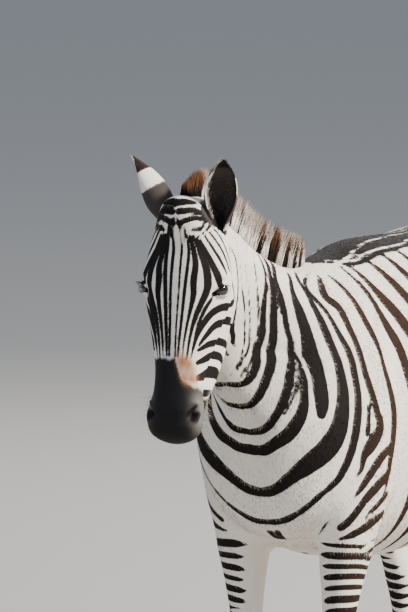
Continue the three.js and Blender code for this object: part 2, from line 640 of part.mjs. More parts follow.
// A hoof widens from the coronet to a flat sole, longer at the toe than at the heel.
function hoofSolid(side, rows) {
  const foot = rows.at(-1);
  const ahead = rows === HINDLEG ? stride(side, 0) : 0;
  const HOOF_SIDES = 16;
  const rings = [
    { z: HOOF_TOP - GAP, toe: 0, heel: 0, widen: 0 },
    { z: HOOF_TOP - 12, toe: 8, heel: 0, widen: 3.5 },
    { z: 34, toe: 18, heel: -1, widen: 7 },
    { z: 5, toe: 30, heel: -2, widen: 11 },
    { z: 0, toe: 28, heel: -4, widen: 9.5 },
  ].map(({ z, toe, heel, widen }) => {
    const front = foot.front + toe;
    const back = foot.back - heel;
    return Array.from({ length: HOOF_SIDES }, (_, i) => {
      const a = (2 * Math.PI * i) / HOOF_SIDES;
      const [across, along] = [Math.sin(a), Math.cos(a)];
      const r = 1 / Math.pow(Math.abs(across) ** 2.4 + Math.abs(along) ** 2.4, 1 / 2.4);
      return [
        side * foot.x + across * r * (foot.half + widen),
        ahead + (front + back) / 2 + (along * r * (front - back)) / 2,
        z,
      ];
    });
  });
  return skinOf(rings);
}

// ---------------------------------------------------------------- mane and tail
function maneSolid() {
  const rings = MANE.map(({ s, z, out, hair, high }) => {
    const probe = [0, -Math.sin(toRadians(out)), Math.cos(toRadians(out))];
    const d = reachOf(bodyField, [0, s, z], probe);
    const way = [-Math.sin(toRadians(hair)), Math.cos(toRadians(hair))];
    const share = Math.min(1, 0.3 + high / 130);
    const root = MANE_WIDTH.root * share;
    const top = MANE_WIDTH.top * share;
    const outline = [
      [root, -MANE_WIDTH.sink], [root, 2], [root * 0.95, high * 0.4], [top * 1.15, high * 0.8],
      [top * 0.7, high * 0.97], [-top * 0.7, high * 0.97], [-top * 1.15, high * 0.8],
      [-root * 0.95, high * 0.4], [-root, 2], [-root, -MANE_WIDTH.sink],
    ];
    return outline.map(([x, up]) => [x, s + probe[1] * d + way[0] * up, z + probe[2] * d + way[1] * up]);
  });
  return skinOf(rings);
}

// The dock leaves the rump, bends over and hangs; the long hair grows from its lower half.
const DOCK = new THREE.CatmullRomCurve3([
  [TAIL_ROOT.s, TAIL_ROOT.z], [-1046, 1222], [-1090, 1172], [-1110, 1090], [-1118, 1000], [-1120, 900],
].map(([s, z]) => new THREE.Vector3(0, s, z)));
const TUFT_TOP = 900;

function dockSolid() {
  const rings = spread(0, 1, 11).map((t) => {
    const p = DOCK.getPoint(t);
    const way = DOCK.getTangent(t);
    const r = 33 - 14 * t;
    return Array.from({ length: 10 }, (_, i) => {
      const a = (2 * Math.PI * i) / 10;
      return [Math.sin(a) * r * 0.95, p.y + way.z * Math.cos(a) * r, p.z - way.y * Math.cos(a) * r];
    });
  });
  return skinOf(rings);
}

function tuftSolid() {
  const TUFT = [
    { at: TUFT_TOP - GAP, r: 19 }, { at: 860, r: 24 }, { at: 800, r: 31 }, { at: 730, r: 38 },
    { at: 660, r: 41 }, { at: 590, r: 39 }, { at: 530, r: 29 }, { at: 490, r: 14 }, { at: TUFT_END, r: 3 },
  ];
  const rings = TUFT.map(({ at, r }) => Array.from({ length: 12 }, (_, i) => {
    const a = (2 * Math.PI * i) / 12;
    return [Math.sin(a) * r * 1.05, -1120 - (TUFT_TOP - at) * 0.02 + Math.cos(a) * r * 0.82, at];
  }));
  return skinOf(rings);
}

// ---------------------------------------------------------------- the model
const paint = (color, roughness) =>
  new THREE.MeshStandardMaterial({ color, roughness, metalness: 0 });
const COAT = paint(0xd9d2c8, 0.85);
const MANE_HAIR = paint(0x4a2f22, 0.9);
const HORN = paint(0x2a2624, 0.5);
const EYE_DARK = paint(0x120c0a, 0.08);

const zebra = new THREE.Group();
function add(name, made, material) {
  const mesh = made.getMesh();
  const count = mesh.numProp;
  const places = new Float32Array(mesh.numVert * 3);
  for (let i = 0; i < mesh.numVert; i += 1) {
    places.set(mesh.vertProperties.subarray(i * count, i * count + 3), i * 3);
  }
  const geometry = new THREE.BufferGeometry();
  geometry.setAttribute('position', new THREE.BufferAttribute(places, 3));
  geometry.setIndex(new THREE.BufferAttribute(mesh.triVerts, 1));
  geometry.computeVertexNormals();
  const node = new THREE.Mesh(geometry, material);
  node.name = name;
  zebra.add(node);
}

const fatField = grown(bodyField, FAT);
const fatTrunk = trunkSolid(fatField, 60);
const fatNeck = neckSolid(fatField, { start: -30, end: -60 });
const fatHead = headSolid(fatField, -60);
const clearOfBody = (made) => largest(made.subtract(fatHead).subtract(fatNeck).subtract(fatTrunk));

const LEGS = [
  {
    limb: 'foreleg', rows: FORELEG, curves: foreleg, cut: FORELEG_CUT, joint: KNEE,
    root: [960, 880, 800, 760, 730, 700, 670, 645], upper: [595, 565, 530, 495, 462],
  },
  {
    limb: 'hindleg', rows: HINDLEG, curves: hindleg, cut: HINDLEG_CUT, joint: HOCK,
    root: [980, 900, 840, 795, 760, 730, 700, 670], upper: [612, 585, 560, 535, 512],
  },
];
const SIDES = { left: 1, right: -1 };

let trunk = trunkSolid(bodyField);
for (const { rows, curves, cut, root } of LEGS) {
  for (const side of Object.values(SIDES)) trunk = trunk.add(legSolid(side, rows, curves, [...root, cut]));
}
add('trunk', largest(trunk), COAT);
add('neck', neckSolid(bodyField), COAT);

let head = headSolid(bodyField);
for (const side of Object.values(SIDES)) head = head.subtract(eyeball(side, EYE.radius + GAP));
add('head', largest(head), COAT);
for (const [name, side] of Object.entries(SIDES)) {
  add(`eye_${name}`, eyeball(side, EYE.radius), EYE_DARK);
  add(`ear_${name}`, clearOfBody(earSolid(EARS[name])), COAT);
}
add('mane', clearOfBody(maneSolid()), MANE_HAIR);

for (const { limb, rows, curves, cut, joint, upper } of LEGS) {
  for (const [name, side] of Object.entries(SIDES)) {
    const down = [0.94, 0.86, 0.76, 0.62, 0.52].map((k) => joint * k);
    const above = [cut - GAP, ...upper, joint + GAP / 2];
    const below = [joint - GAP / 2, ...down, 190, 170, 150, 130, 108, 88, HOOF_TOP];
    add(`${limb}_${name}_upper`, legSolid(side, rows, curves, above), COAT);
    add(`${limb}_${name}_lower`, legSolid(side, rows, curves, below), COAT);
    add(`hoof_${limb}_${name}`, hoofSolid(side, rows), HORN);
  }
}
add('tail', clearOfBody(dockSolid()), COAT);
add('tail_tuft', tuftSolid(), MANE_HAIR);

export default zebra;
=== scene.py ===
import bpy
import bmesh
import math
import numpy as np
from mathutils import Matrix, Vector


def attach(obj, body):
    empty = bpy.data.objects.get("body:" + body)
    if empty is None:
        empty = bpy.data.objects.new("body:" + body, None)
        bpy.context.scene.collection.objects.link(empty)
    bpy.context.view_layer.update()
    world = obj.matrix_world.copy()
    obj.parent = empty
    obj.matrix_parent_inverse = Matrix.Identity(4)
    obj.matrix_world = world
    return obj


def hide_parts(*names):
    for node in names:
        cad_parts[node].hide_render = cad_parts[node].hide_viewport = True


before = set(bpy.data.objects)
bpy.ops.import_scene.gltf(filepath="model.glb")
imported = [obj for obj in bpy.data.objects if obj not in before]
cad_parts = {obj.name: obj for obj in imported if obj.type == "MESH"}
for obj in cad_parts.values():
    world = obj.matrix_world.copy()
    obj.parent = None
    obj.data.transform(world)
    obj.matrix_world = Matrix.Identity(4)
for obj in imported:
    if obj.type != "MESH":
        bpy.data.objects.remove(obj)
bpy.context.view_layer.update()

CAMERA_PLACE = (5.227, -11.0836, 2.4667)
CAMERA_AIM = (-0.191, -0.4504, 1.2127)
CAMERA_LENS = 303.5
FLOOR_COLOUR = (0.42, 0.40, 0.37, 1.0)


class Socket:
    """One output of a node, on which + - * / ** work as maths nodes."""

    def __init__(self, tree, link):
        self.tree, self.link = tree, link

    def maths(self, operation, *values, swap=False):
        pair = [self, *values]
        if swap:
            pair.reverse()
        return node(self.tree, "ShaderNodeMath", {"operation": operation}, dict(enumerate(pair)))

    def __add__(self, other): return self.maths("ADD", other)
    def __radd__(self, other): return self.maths("ADD", other)
    def __sub__(self, other): return self.maths("SUBTRACT", other)
    def __rsub__(self, other): return self.maths("SUBTRACT", other, swap=True)
    def __mul__(self, other): return self.maths("MULTIPLY", other)
    def __rmul__(self, other): return self.maths("MULTIPLY", other)
    def __truediv__(self, other): return self.maths("DIVIDE", other)
    def __pow__(self, other): return self.maths("POWER", other)

    def part(self, name):
        return Socket(self.tree, self.link.node.outputs[name])


def node(tree, kind, settings=None, sockets=None, out=0):
    """Adds a node with its settings, then its sockets' values or links, and returns one output."""
    made = tree.nodes.new(kind)
    for name, value in (settings or {}).items():
        if name == "ramp":
            ramp = made.color_ramp
            while len(ramp.elements) < len(value):
                ramp.elements.new(0.5)
            for element, (at, colour) in zip(ramp.elements, value):
                element.position, element.color = at, colour
        else:
            setattr(made, name, value)
    for name, value in (sockets or {}).items():
        if isinstance(value, Socket):
            tree.links.new(value.link, made.inputs[name])
        else:
            made.inputs[name].default_value = value
    return Socket(tree, made.outputs[out])


def new_material(name):
    """A material with its one Principled shader, whose sockets are set afterwards."""
    material = bpy.data.materials.new(name)
    material.use_nodes = True
    tree = material.node_tree
    shader = next(n for n in tree.nodes if n.type == "BSDF_PRINCIPLED")
    return material, tree, shader


def feed(tree, shader, **sockets):
    for name, value in sockets.items():
        name = name.replace("_", " ")
        if isinstance(value, Socket):
            tree.links.new(value.link, shader.inputs[name])
        else:
            shader.inputs[name].default_value = value


def mix(tree, share, first, second):
    return node(tree, "ShaderNodeMix", {"data_type": "RGBA"}, {0: share, 6: first, 7: second}, out=2)


def noise(tree, place, scale, detail=2.0, roughness=0.5):
    return node(tree, "ShaderNodeTexNoise", {},
                {"Vector": place, "Scale": scale, "Detail": detail, "Roughness": roughness})


def new_object(name, mesh, material=None):
    piece = bpy.data.objects.new(name, mesh)
    bpy.context.scene.collection.objects.link(piece)
    if material:
        mesh.materials.append(material)
    return piece


def area_light(name, place, aim, size, power, colour):
    lamp = bpy.data.lights.new(name, "AREA")
    lamp.shape, lamp.size, lamp.energy, lamp.color = "SQUARE", size, power, colour
    light = bpy.data.objects.new(name, lamp)
    light.location = place
    light.rotation_euler = (Vector(aim) - Vector(place)).to_track_quat("-Z", "Y").to_euler()
    bpy.context.scene.collection.objects.link(light)


area_light("key_light", (9.5, 0.6, 7.4), (0, 0, 1.0), 1.8, 3400, (1.0, 0.94, 0.85))
area_light("fill_light", (-3.5, -9.0, 2.6), (0, -0.2, 1.0), 4.0, 110, (0.82, 0.90, 1.0))
area_light("back_light", (-2.0, 6.0, 5.0), (0, 0, 1.1), 4.0, 300, (1.0, 0.98, 0.95))
world = bpy.data.worlds.new("soft_room")
bpy.context.scene.world = world
world.use_nodes = True
room = world.node_tree.nodes["Background"]
room.inputs["Color"].default_value = (0.70, 0.80, 0.96, 1.0)
room.inputs["Strength"].default_value = 0.62

camera = bpy.data.objects.new("camera", bpy.data.cameras.new("camera"))
camera.location = CAMERA_PLACE
camera.rotation_euler = (Vector(CAMERA_AIM) - Vector(CAMERA_PLACE)).to_track_quat("-Z", "Y").to_euler()
camera.data.lens = CAMERA_LENS
camera.data.sensor_width = 36.0
camera.data.clip_end = 400.0
bpy.context.scene.collection.objects.link(camera)
bpy.context.scene.camera = camera

floor_mesh = bpy.data.meshes.new("floor")
ground = bmesh.new()
bmesh.ops.create_circle(ground, cap_ends=True, segments=96, radius=150.0)
ground.to_mesh(floor_mesh)
ground.free()
floor_material, tree, shader = new_material("plain_floor")
place = node(tree, "ShaderNodeTexCoord", out="Object")
feed(tree, shader, Base_Color=mix(tree, noise(tree, place, 0.6) * 0.3, FLOOR_COLOUR, (0.38, 0.36, 0.335, 1.0)),
     Roughness=0.8)
floor = new_object("floor", floor_mesh, floor_material)

# ---------------------------------------------------------------- flesh
# The shape of the animal's flesh under its coat: one smooth field, in millimetres, below zero
# inside. A point is (x, s, z): x to the animal's left, s forwards from the withers and z up.
# Barrel, neck, skull, jaw and legs are rows of sections, run together where they meet.
MM = 0.001
BODY_MIDDLE = -256.4
HEAD_PITCH, NECK_RISE = math.radians(79), math.radians(37)
POLL = (552.0, 1489.0)
NECK_ROOT = (60.0, 1130.0)
HEAD_ASIDE, HEAD_YAW = -58.0, math.radians(5)
# at s: height of back, widest line and belly, half width, squareness above and below
BARREL = [
    (-900, 1310, 1035, 820, 216, 2.35, 2.1), (-780, 1346, 1015, 740, 246, 2.3, 2.1),
    (-640, 1350, 985, 668, 260, 2.15, 2.15), (-480, 1344, 950, 605, 271, 2.0, 2.15),
    (-320, 1349, 935, 575, 269, 1.95, 2.15), (-160, 1347, 940, 583, 246, 1.85, 2.1),
    (-20, 1318, 950, 606, 220, 1.75, 2.05), (60, 1290, 950, 624, 208, 1.75, 2.1),
    (145, 1245, 948, 668, 205, 1.8, 2.25)]
# along the neck: crest, widest line, throat, half width
NECK = [
    (0, 190, -60, -300, 180), (60, 168, -70, -312, 168), (124, 131, -75, -306, 148),
    (193, 86, -65, -262, 122), (260, 68, -45, -180, 100), (330, 62, -32, -135, 86),
    (402, 61, -26, -118, 78), (480, 44, -24, -108, 73), (560, 12, -30, -100, 66)]
# down the face: forehead, widest line, underside, half width, squareness above
SKULL = [
    (5, -12, -62, -126, 62, 2.2), (53, 9, -54, -134, 80, 2.3), (106, 20, -50, -136, 94, 2.3),
    (165, 24, -58, -134, 101, 2.25), (212, 22, -64, -130, 100, 2.2), (265, 18, -62, -122, 87, 2.1),
    (318, 13, -58, -112, 73, 2.1), (371, 8, -52, -100, 61, 2.1), (424, 5, -46, -92, 59, 2.1),
    (466, 4, -44, -88, 66, 2.2), (500, -3, -44, -84, 64, 2.2)]
JAW = [
    (125, -84, -140, -206, 61, 2), (185, -88, -150, -230, 69, 2), (245, -84, -150, -237, 69, 2),
    (307, -76, -146, -236, 64, 2), (345, -72, -138, -220, 60, 2), (385, -68, -126, -192, 56, 2),
    (428, -66, -108, -156, 50, 2), (470, -64, -96, -128, 44, 2)]
# up the leg: front edge, back edge, distance from the middle line, half width
FORELEG = [
    (72, 172, 100, 113, 36), (110, 154, 90, 113, 29), (150, 144, 70, 114, 34), (185, 142, 75, 114, 31),
    (230, 140, 81, 115, 27), (310, 142, 81, 116, 27), (385, 150, 71, 117, 34), (428, 161, 67, 118, 43),
    (462, 157, 70, 119, 38), (500, 161, 65, 121, 41), (540, 165, 56, 124, 46), (585, 171, 44, 127, 53),
    (630, 178, 28, 131, 61), (710, 188, 0, 135, 71), (785, 202, -38, 134, 75), (870, 222, -52, 130, 76),
    (970, 240, -40, 122, 76), (1080, 225, 10, 112, 66)]
HINDLEG = [
    (72, -928, -1002, 114, 36), (110, -946, -1010, 114, 29), (152, -960, -1036, 115, 34),
    (187, -968, -1034, 116, 31), (260, -970, -1030, 117, 28), (343, -967, -1032, 119, 29),
    (400, -960, -1036, 121, 35), (442, -946, -1042, 123, 40), (484, -926, -1052, 125, 41),
    (520, -902, -1046, 127, 40), (562, -866, -1020, 130, 44), (614, -824, -998, 134, 51),
    (676, -776, -992, 138, 60), (750, -720, -1008, 143, 70), (812, -688, -1036, 146, 80),
    (895, -676, -1064, 146, 90), (990, -690, -1072, 143, 94), (1100, -720, -1048, 136, 88)]
STRIDE, STRIDE_FROM, STRIDE_TO = 235.0, 560.0, 1130.0
# swellings and hollows: middle, reach and height
MUSCLES = [
    ((196, 90, 1010), (60, 90, 130), 10), ((150, 250, 950), (60, 60, 70), 10),
    ((0, 335, 900), (26, 60, 110), -10), ((190, -20, 880), (50, 70, 80), 10),
    ((225, -120, 940), (50, 45, 130), -8), ((225, -860, 1010), (60, 120, 130), 14),
    ((240, -680, 880), (60, 55, 90), -10), ((0, -1075, 1060), (22, 70, 150), -22),
    ((85, 330, 1190), (30, 110, 40), -8)]
HEAD_SHAPES = [
    ((62, 205, -128), (34, 66, 58), 12), ((98, 166, -26), (24, 24, 18), 6),
    ((64, 118, 2), (20, 28, 22), -7), ((56, 285, -66), (16, 62, 12), 5),
    ((46, 492, -26), (17, 27, 20), 10),
    ((0, 522, -62), (36, 26, 22), 8), ((0, 480, -120), (24, 24, 18), 8),
    ((52, 480, -94), (20, 44, 5), -7), ((0, 320, -176), (14, 90, 30), -10)]
DOCK = [(-960, 1238, 36), (-1046, 1222, 32), (-1090, 1172, 28), (-1110, 1090, 25), (-1118, 1000, 22),
        (-1120, 900, 18)]


def sections(rows):
    """A smooth curve through every column of a table, level beyond its two ends."""
    table = np.array(rows, float)
    at, value = table[:, 0], table[:, 1:]
    slope = np.empty_like(value)
    slope[1:-1] = (value[2:] - value[:-2]) / (at[2:] - at[:-2])[:, None]
    slope[0] = (value[1] - value[0]) / (at[1] - at[0])
    slope[-1] = (value[-1] - value[-2]) / (at[-1] - at[-2])

    def curve(t):
        t = np.clip(t, at[0], at[-1])
        i = np.clip(np.searchsorted(at, t, side="right") - 1, 0, len(at) - 2)
        h = (at[i + 1] - at[i])[:, None]
        k = (t - at[i])[:, None] / h
        k2, k3 = k * k, k * k * k
        return (value[i] * (2 * k3 - 3 * k2 + 1) + slope[i] * h * (k3 - 2 * k2 + k)
                + value[i + 1] * (3 * k2 - 2 * k3) + slope[i + 1] * h * (k3 - k2)).T
    return curve


barrel_at, neck_at, skull_at, jaw_at = (sections(t) for t in (BARREL, NECK, SKULL, JAW))
foreleg_at, hindleg_at = sections(FORELEG), sections(HINDLEG)


def smooth_step(k):
    k = np.clip(k, 0, 1)
    return k * k * (3 - 2 * k)


def smooth_union(a, b, rounding):
    h = np.maximum(rounding - np.abs(a - b), 0) / rounding
    return np.minimum(a, b) - h * h * rounding / 4


def outside(size, power, *shares):
    r = sum(np.abs(q) ** power for q in shares) ** (1 / power)
    return size - size / np.maximum(r, 1e-6)


def section_field(x, c, t, low_end, high_end, low_cap, high_cap, curve, square=None):
    """How far a point is outside a run of sections whose rows are (top, wide, low, half, ...)."""
    k = np.clip(t, low_end, high_end)
    row = curve(k)
    top, wide, low, half = row[:4]
    past = np.where(t > high_end, (t - high_end) / high_cap, np.where(t < low_end, (low_end - t) / low_cap, 0))
    upper = c > wide
    high = np.where(upper, top - wide, wide - low)
    over, under = square if square else (row[4], row[5] if len(row) > 5 else 2.1)
    power = under + (over - under) * smooth_step((c - wide) / 140 + 0.5)
    return outside(np.sqrt(x * x + (c - wide) ** 2 + (t - k) ** 2), power, x / half, (c - wide) / high, past)


def neck_place(s, z):
    c, h = math.cos(NECK_RISE), math.sin(NECK_RISE)
    return (s - NECK_ROOT[0]) * c + (z - NECK_ROOT[1]) * h, (z - NECK_ROOT[1]) * c - (s - NECK_ROOT[0]) * h


def head_place(s, z):
    c, h = math.cos(HEAD_PITCH), math.sin(HEAD_PITCH)
    return (s - POLL[0]) * c - (z - POLL[1]) * h, (s - POLL[0]) * h + (z - POLL[1]) * c


def from_head(x, u, v):
    c, h = math.cos(HEAD_PITCH), math.sin(HEAD_PITCH)
    return np.array([x, POLL[0] + u * c + v * h, POLL[1] - u * h + v * c], float)


def swellings(x, a, b, shapes):
    total = 0.0
    for (mx, ma, mb), (rx, ra, rb), by in shapes:
        far = ((np.abs(x) - mx) / rx) ** 2 + ((a - ma) / ra) ** 2 + ((b - mb) / rb) ** 2
        total = total + by * np.exp(-far)
    return total


def head_field(x, s, z):
    u, v = head_place(s, z)
    upper = section_field(x, v, u, 5, 500, 22, 44, skull_at)
    lower = section_field(x, v, u, 125, 470, 60, 34, jaw_at)
    return smooth_union(upper, lower, 22) - swellings(x, u, v, HEAD_SHAPES)


def leg_field(x, s, z, curve):
    k = np.clip(z, 72, 1080 if curve is foreleg_at else 1100)
    front, back, middle, half = curve(k)
    past = np.where(z > k, (z - k) / 60, (k - z) / 30)
    across, along = np.abs(x) - middle, s - (front + back) / 2
    return outside(np.sqrt(across ** 2 + along ** 2 + (z - k) ** 2), 2.2,
                   across / half, 2 * along / (front - back), past)


def stride(x, z):
    return np.where(x < 0, STRIDE * (1 - smooth_step((z - STRIDE_FROM) / (STRIDE_TO - STRIDE_FROM))), 0)


def dock_field(x, s, z):
    best = np.full(x.shape, 1e9)
    for (s0, z0, r0), (s1, z1, r1) in zip(DOCK[:-1], DOCK[1:]):
        ds, dz = s1 - s0, z1 - z0
        k = np.clip(((s - s0) * ds + (z - z0) * dz) / (ds * ds + dz * dz), 0, 1)
        best = np.minimum(best, np.sqrt(x ** 2 + (s - s0 - k * ds) ** 2 + (z - z0 - k * dz) ** 2)
                          - r0 - (r1 - r0) * k)
    return best


def flesh(p):
    """The whole animal's field at points (n, 3)."""
    x, s, z = p.T
    neck_t, neck_c = neck_place(s, z)
    f = smooth_union(section_field(x, z, s, -900, 145, 172, 195, barrel_at),
                     section_field(x, neck_c, neck_t, 0, 560, 120, 90, neck_at, (1.85, 2.15)), 70)
    f = smooth_union(f, head_field(x, s, z), 34)
    fore, hind = leg_field(x, s, z, foreleg_at), leg_field(x, s - stride(x, z), z, hindleg_at)
    for leg in (fore, hind):
        f = smooth_union(f, -smooth_union(-leg, z - 715, 90), 60)
    f = f - swellings(x, s, z, MUSCLES)
    f = smooth_union(f, np.minimum(fore, hind), 46)
    return smooth_union(f, dock_field(x, s, z), 24)


def carried(p):
    """The head is carried a little to the animal's right, and the neck takes up the difference."""
    x, s, z = p.T
    lean = math.radians(37)
    from_neck = (s - 223) * math.cos(lean) + (z - 1137) * math.sin(lean)
    within = np.minimum((s - 468) * 0.947 - (z - 1490) * 0.321, (s - 352) * 0.669 + (z - 1140) * 0.743)
    to_head = np.maximum(-within, 0)
    share = np.where(from_neck > 0, smooth_step(from_neck / np.maximum(from_neck + to_head, 1e-6)), 0)
    yaw, ahead = HEAD_YAW * share, s - POLL[0]
    return np.stack([x * np.cos(yaw) + ahead * np.sin(yaw) + HEAD_ASIDE * share,
                     np.where(share > 0, POLL[0] + ahead * np.cos(yaw) - x * np.sin(yaw), s), z], 1)


def to_world(p):
    q = carried(np.atleast_2d(p))
    return np.stack([q[:, 0], BODY_MIDDLE - q[:, 1], q[:, 2]], 1) * MM


def to_body(w):
    """The body point that is carried to each of these world points."""
    target = np.stack([w[:, 0], BODY_MIDDLE * MM - w[:, 1], w[:, 2]], 1) / MM
    p = target.copy()
    for _ in range(12):
        p += target - carried(p)
    return p


# ---------------------------------------------------------------- skin
# One skin over the whole animal, from the rims of the ears to the coronets, which lies inside the
# flesh nodes by the depth of the coat. A closed surface of even cells round the field is drawn onto
# it and divided more finely on the legs, the neck and above all the head.
SKIN_GRAIN = 13.8
EYE_CENTRE, EYE_RADIUS = from_head(84, 193, -40), 21.0
LIMBS = [f"{leg}_{side}_{part}" for leg in ("foreleg", "hindleg") for side in ("left", "right")
         for part in ("upper", "lower")]


def points_of(mesh):
    co = np.empty(len(mesh.vertices) * 3, np.float32)
    mesh.vertices.foreach_get("co", co)
    return co.reshape(-1, 3).astype(float)


def triangles_of(mesh):
    mesh.calc_loop_triangles()
    tri = np.empty(len(mesh.loop_triangles) * 3, np.int32)
    mesh.loop_triangles.foreach_get("vertices", tri)
    return tri.reshape(-1, 3)


def edges_of(mesh):
    e = np.empty(len(mesh.edges) * 2, np.int32)
    mesh.edges.foreach_get("vertices", e)
    return e.reshape(-1, 2)


def normals_at(p, tri):
    """Outward normals at the vertices."""
    face = np.cross(p[tri[:, 1]] - p[tri[:, 0]], p[tri[:, 2]] - p[tri[:, 0]])
    total = np.zeros_like(p)
    for k in range(3):
        for axis in range(3):
            total[:, axis] += np.bincount(tri[:, k], face[:, axis], len(p))
    return total / np.maximum(np.linalg.norm(total, axis=1), 1e-12)[:, None]


def evened(p, edges, share=0.5):
    """Each point moved part of the way to the mean of its neighbours."""
    count = np.bincount(edges.ravel(), minlength=len(p))[:, None]
    total = np.zeros_like(p)
    for axis in range(3):
        total[:, axis] = (np.bincount(edges[:, 0], p[edges[:, 1], axis], len(p))
                          + np.bincount(edges[:, 1], p[edges[:, 0], axis], len(p)))
    return p + share * (total / np.maximum(count, 1) - p)


def coat_depth(p):
    """How far the skin lies under the tips of the coat, in mm."""
    u, v = head_place(p[:, 1], p[:, 2])
    on_head = smooth_step((p[:, 1] - 380) / 120) * smooth_step((v + 260) / 60)
    on_leg = 1 - smooth_step((p[:, 2] - 420) / 260)
    return 5.5 - 2.7 * on_head - 1.8 * on_leg


def skin_slope(p, f):
    """The slope of the field under the coat at points where it is f."""
    return np.stack([flesh(p + 1.5 * np.eye(3)[k]) + coat_depth(p) - f for k in range(3)], 1) / 1.5


def on_skin(p, rounds=5):
    """Points brought to the skin along the slope of the field."""
    for _ in range(rounds):
        f = flesh(p) + coat_depth(p)
        slope = skin_slope(p, f)
        step = slope * (f / np.maximum((slope ** 2).sum(1), 0.05))[:, None]
        p = p - step * np.minimum(1, 14 / np.maximum(np.linalg.norm(step, axis=1), 1e-6))[:, None]
    return p


def drawn_on(p, tri, edges, rounds, relax=0.4):
    """Body points moved along their normals until they lie on the skin. s runs against the model's
    own y, so the triangles are turned round first."""
    tri = tri[:, ::-1]
    for _ in range(rounds):
        n = normals_at(p, tri)
        step = evened(p, edges, relax) - p
        p = p + step - n * (step * n).sum(1)[:, None]
        n = normals_at(p, tri)
        far = flesh(p) + coat_depth(p)
        p = p - n * np.clip(far, -6, 6)[:, None]
    return p


def surface_cells(field, low, high, grain):
    """The closed surface where a field is zero, roughly: a point in the middle of each cell that it
    crosses, and a face over each grid edge that it crosses. Returns points and faces."""
    grid = np.stack(np.meshgrid(*[np.arange(a, b, grain) for a, b in zip(low, high)], indexing="ij"), -1)
    inside = field(grid.reshape(-1, 3)).reshape(grid.shape[:3]) < 0
    corners = sum(inside[i:inside.shape[0] - 1 + i, j:inside.shape[1] - 1 + j, k:inside.shape[2] - 1 + k].astype(int)
                  for i in (0, 1) for j in (0, 1) for k in (0, 1))
    mixed = (corners > 0) & (corners < 8)
    number = np.full(mixed.shape, -1)
    number[mixed] = np.arange(mixed.sum())
    faces = []
    for axis in range(3):
        filled, cell = np.moveaxis(inside, axis, 0), np.moveaxis(number, axis, 0)
        i, j, k = np.nonzero(filled[:-1, 1:-1, 1:-1] != filled[1:, 1:-1, 1:-1])
        quad = np.stack([cell[i, j, k], cell[i, j + 1, k], cell[i, j + 1, k + 1], cell[i, j, k + 1]], 1)
        turned = filled[i, j + 1, k + 1] == (axis != 1)
        faces.append(np.where(turned[:, None], quad[:, ::-1], quad))
    return np.argwhere(mixed) * grain + np.array(low) + grain / 2, np.vstack(faces)


start, quads = surface_cells(lambda q: flesh(q) + coat_depth(q), (-330, -1190, 40), (330, 700, 1560), SKIN_GRAIN)
raw = bpy.data.meshes.new("skin")
raw.from_pydata(start.tolist(), [], quads.tolist())
skin = new_object("skin", raw)


def near_an_eye(p):
    return np.linalg.norm(np.abs(p) * (1, 1, 1) - EYE_CENTRE, axis=1) < 38



rounds_of_division = [
    lambda p: (p[:, 2] < 640) | (p[:, 1] > 150),
    lambda p: head_field(*p.T) < 3,
    near_an_eye,
]
p = points_of(raw)
for _ in range(4):
    p = on_skin(evened(p, edges_of(raw), 0.7), 2)
p = drawn_on(p, triangles_of(raw), edges_of(raw), 2)
mesh = raw
for chosen in rounds_of_division:
    mesh.vertices.foreach_set("co", (to_world(p)).astype(np.float32).ravel())
    within = chosen(p)
    grid = bmesh.new()
    grid.from_mesh(mesh)
    grid.verts.ensure_lookup_table()
    cut = [e for e in grid.edges if within[e.verts[0].index] and within[e.verts[1].index]]
    bmesh.ops.subdivide_edges(grid, edges=cut, cuts=1, use_grid_fill=True)
    grid.to_mesh(mesh)
    grid.free()
    p = drawn_on(to_body(points_of(mesh)), triangles_of(mesh), edges_of(mesh), 4)
# The eyelids stand on the ball of the eye. The slit runs from its inner corner, low and forward,
# to its outer one; the upper lid arches more than the lower, under a fold.
EYE_OUT = np.array([0.76, 0.645, 0.02]) / np.linalg.norm([0.76, 0.645, 0.02])
EYE_ALONG = np.array([0.60, -0.70, 0.37])
EYE_ALONG = EYE_ALONG - EYE_OUT * (EYE_ALONG @ EYE_OUT)
EYE_ALONG /= np.linalg.norm(EYE_ALONG)
EYE_UP = np.cross(EYE_ALONG, EYE_OUT)
EYE_UP *= np.sign(EYE_UP[2])
SLIT_HALF, UPPER_ARCH, LOWER_ARCH = 18.5, 9.5, 7.0
LID_THICK = 2.4


def eye_place(p):
    """Each point in its own eye's axes: along the slit, up, outwards and distance from the middle."""
    d = np.stack([np.abs(p[:, 0]), p[:, 1], p[:, 2]], 1) - EYE_CENTRE
    return d @ EYE_ALONG, d @ EYE_UP, d @ EYE_OUT, np.linalg.norm(d, axis=1)


def beyond_slit(p):
    """How far a point lies outside the slit between the lids, seen from in front of the eye."""
    along, up, out, r = eye_place(p)
    k = np.clip(1 - (along / SLIT_HALF) ** 2, 0, 1)
    arch = np.where(up > 0, UPPER_ARCH * k ** 0.75, LOWER_ARCH * k ** 0.9)
    past = np.maximum(np.abs(along) - SLIT_HALF, 0)
    return np.where(past > 0, np.hypot(past, up), np.abs(up) - arch)


def with_lids(p):
    along, up, out, r = eye_place(p)
    near = (r < 50) & (out > 2)
    gap = beyond_slit(p)
    fold = np.where(up > 0, 2.2, 1.2) * np.exp(-((gap - 7.5) / 1.7) ** 2)
    lid = EYE_RADIUS + LID_THICK + 1.0 * np.exp(-(gap / 2.5) ** 2) - fold
    radius = lid + (r - lid) * smooth_step((gap - 8) / 15)
    radius = np.where(gap < 0, EYE_RADIUS - 5 + (LID_THICK + 5) * smooth_step(1 + gap / 1.4), radius)
    sign = np.where(p[:, 0] < 0, -1, 1)
    centre = np.stack([sign * EYE_CENTRE[0], np.full(len(p), EYE_CENTRE[1]), np.full(len(p), EYE_CENTRE[2])], 1)
    moved = centre + (p - centre) * (radius / np.maximum(r, 1e-6))[:, None]
    return np.where(near[:, None], moved, p)


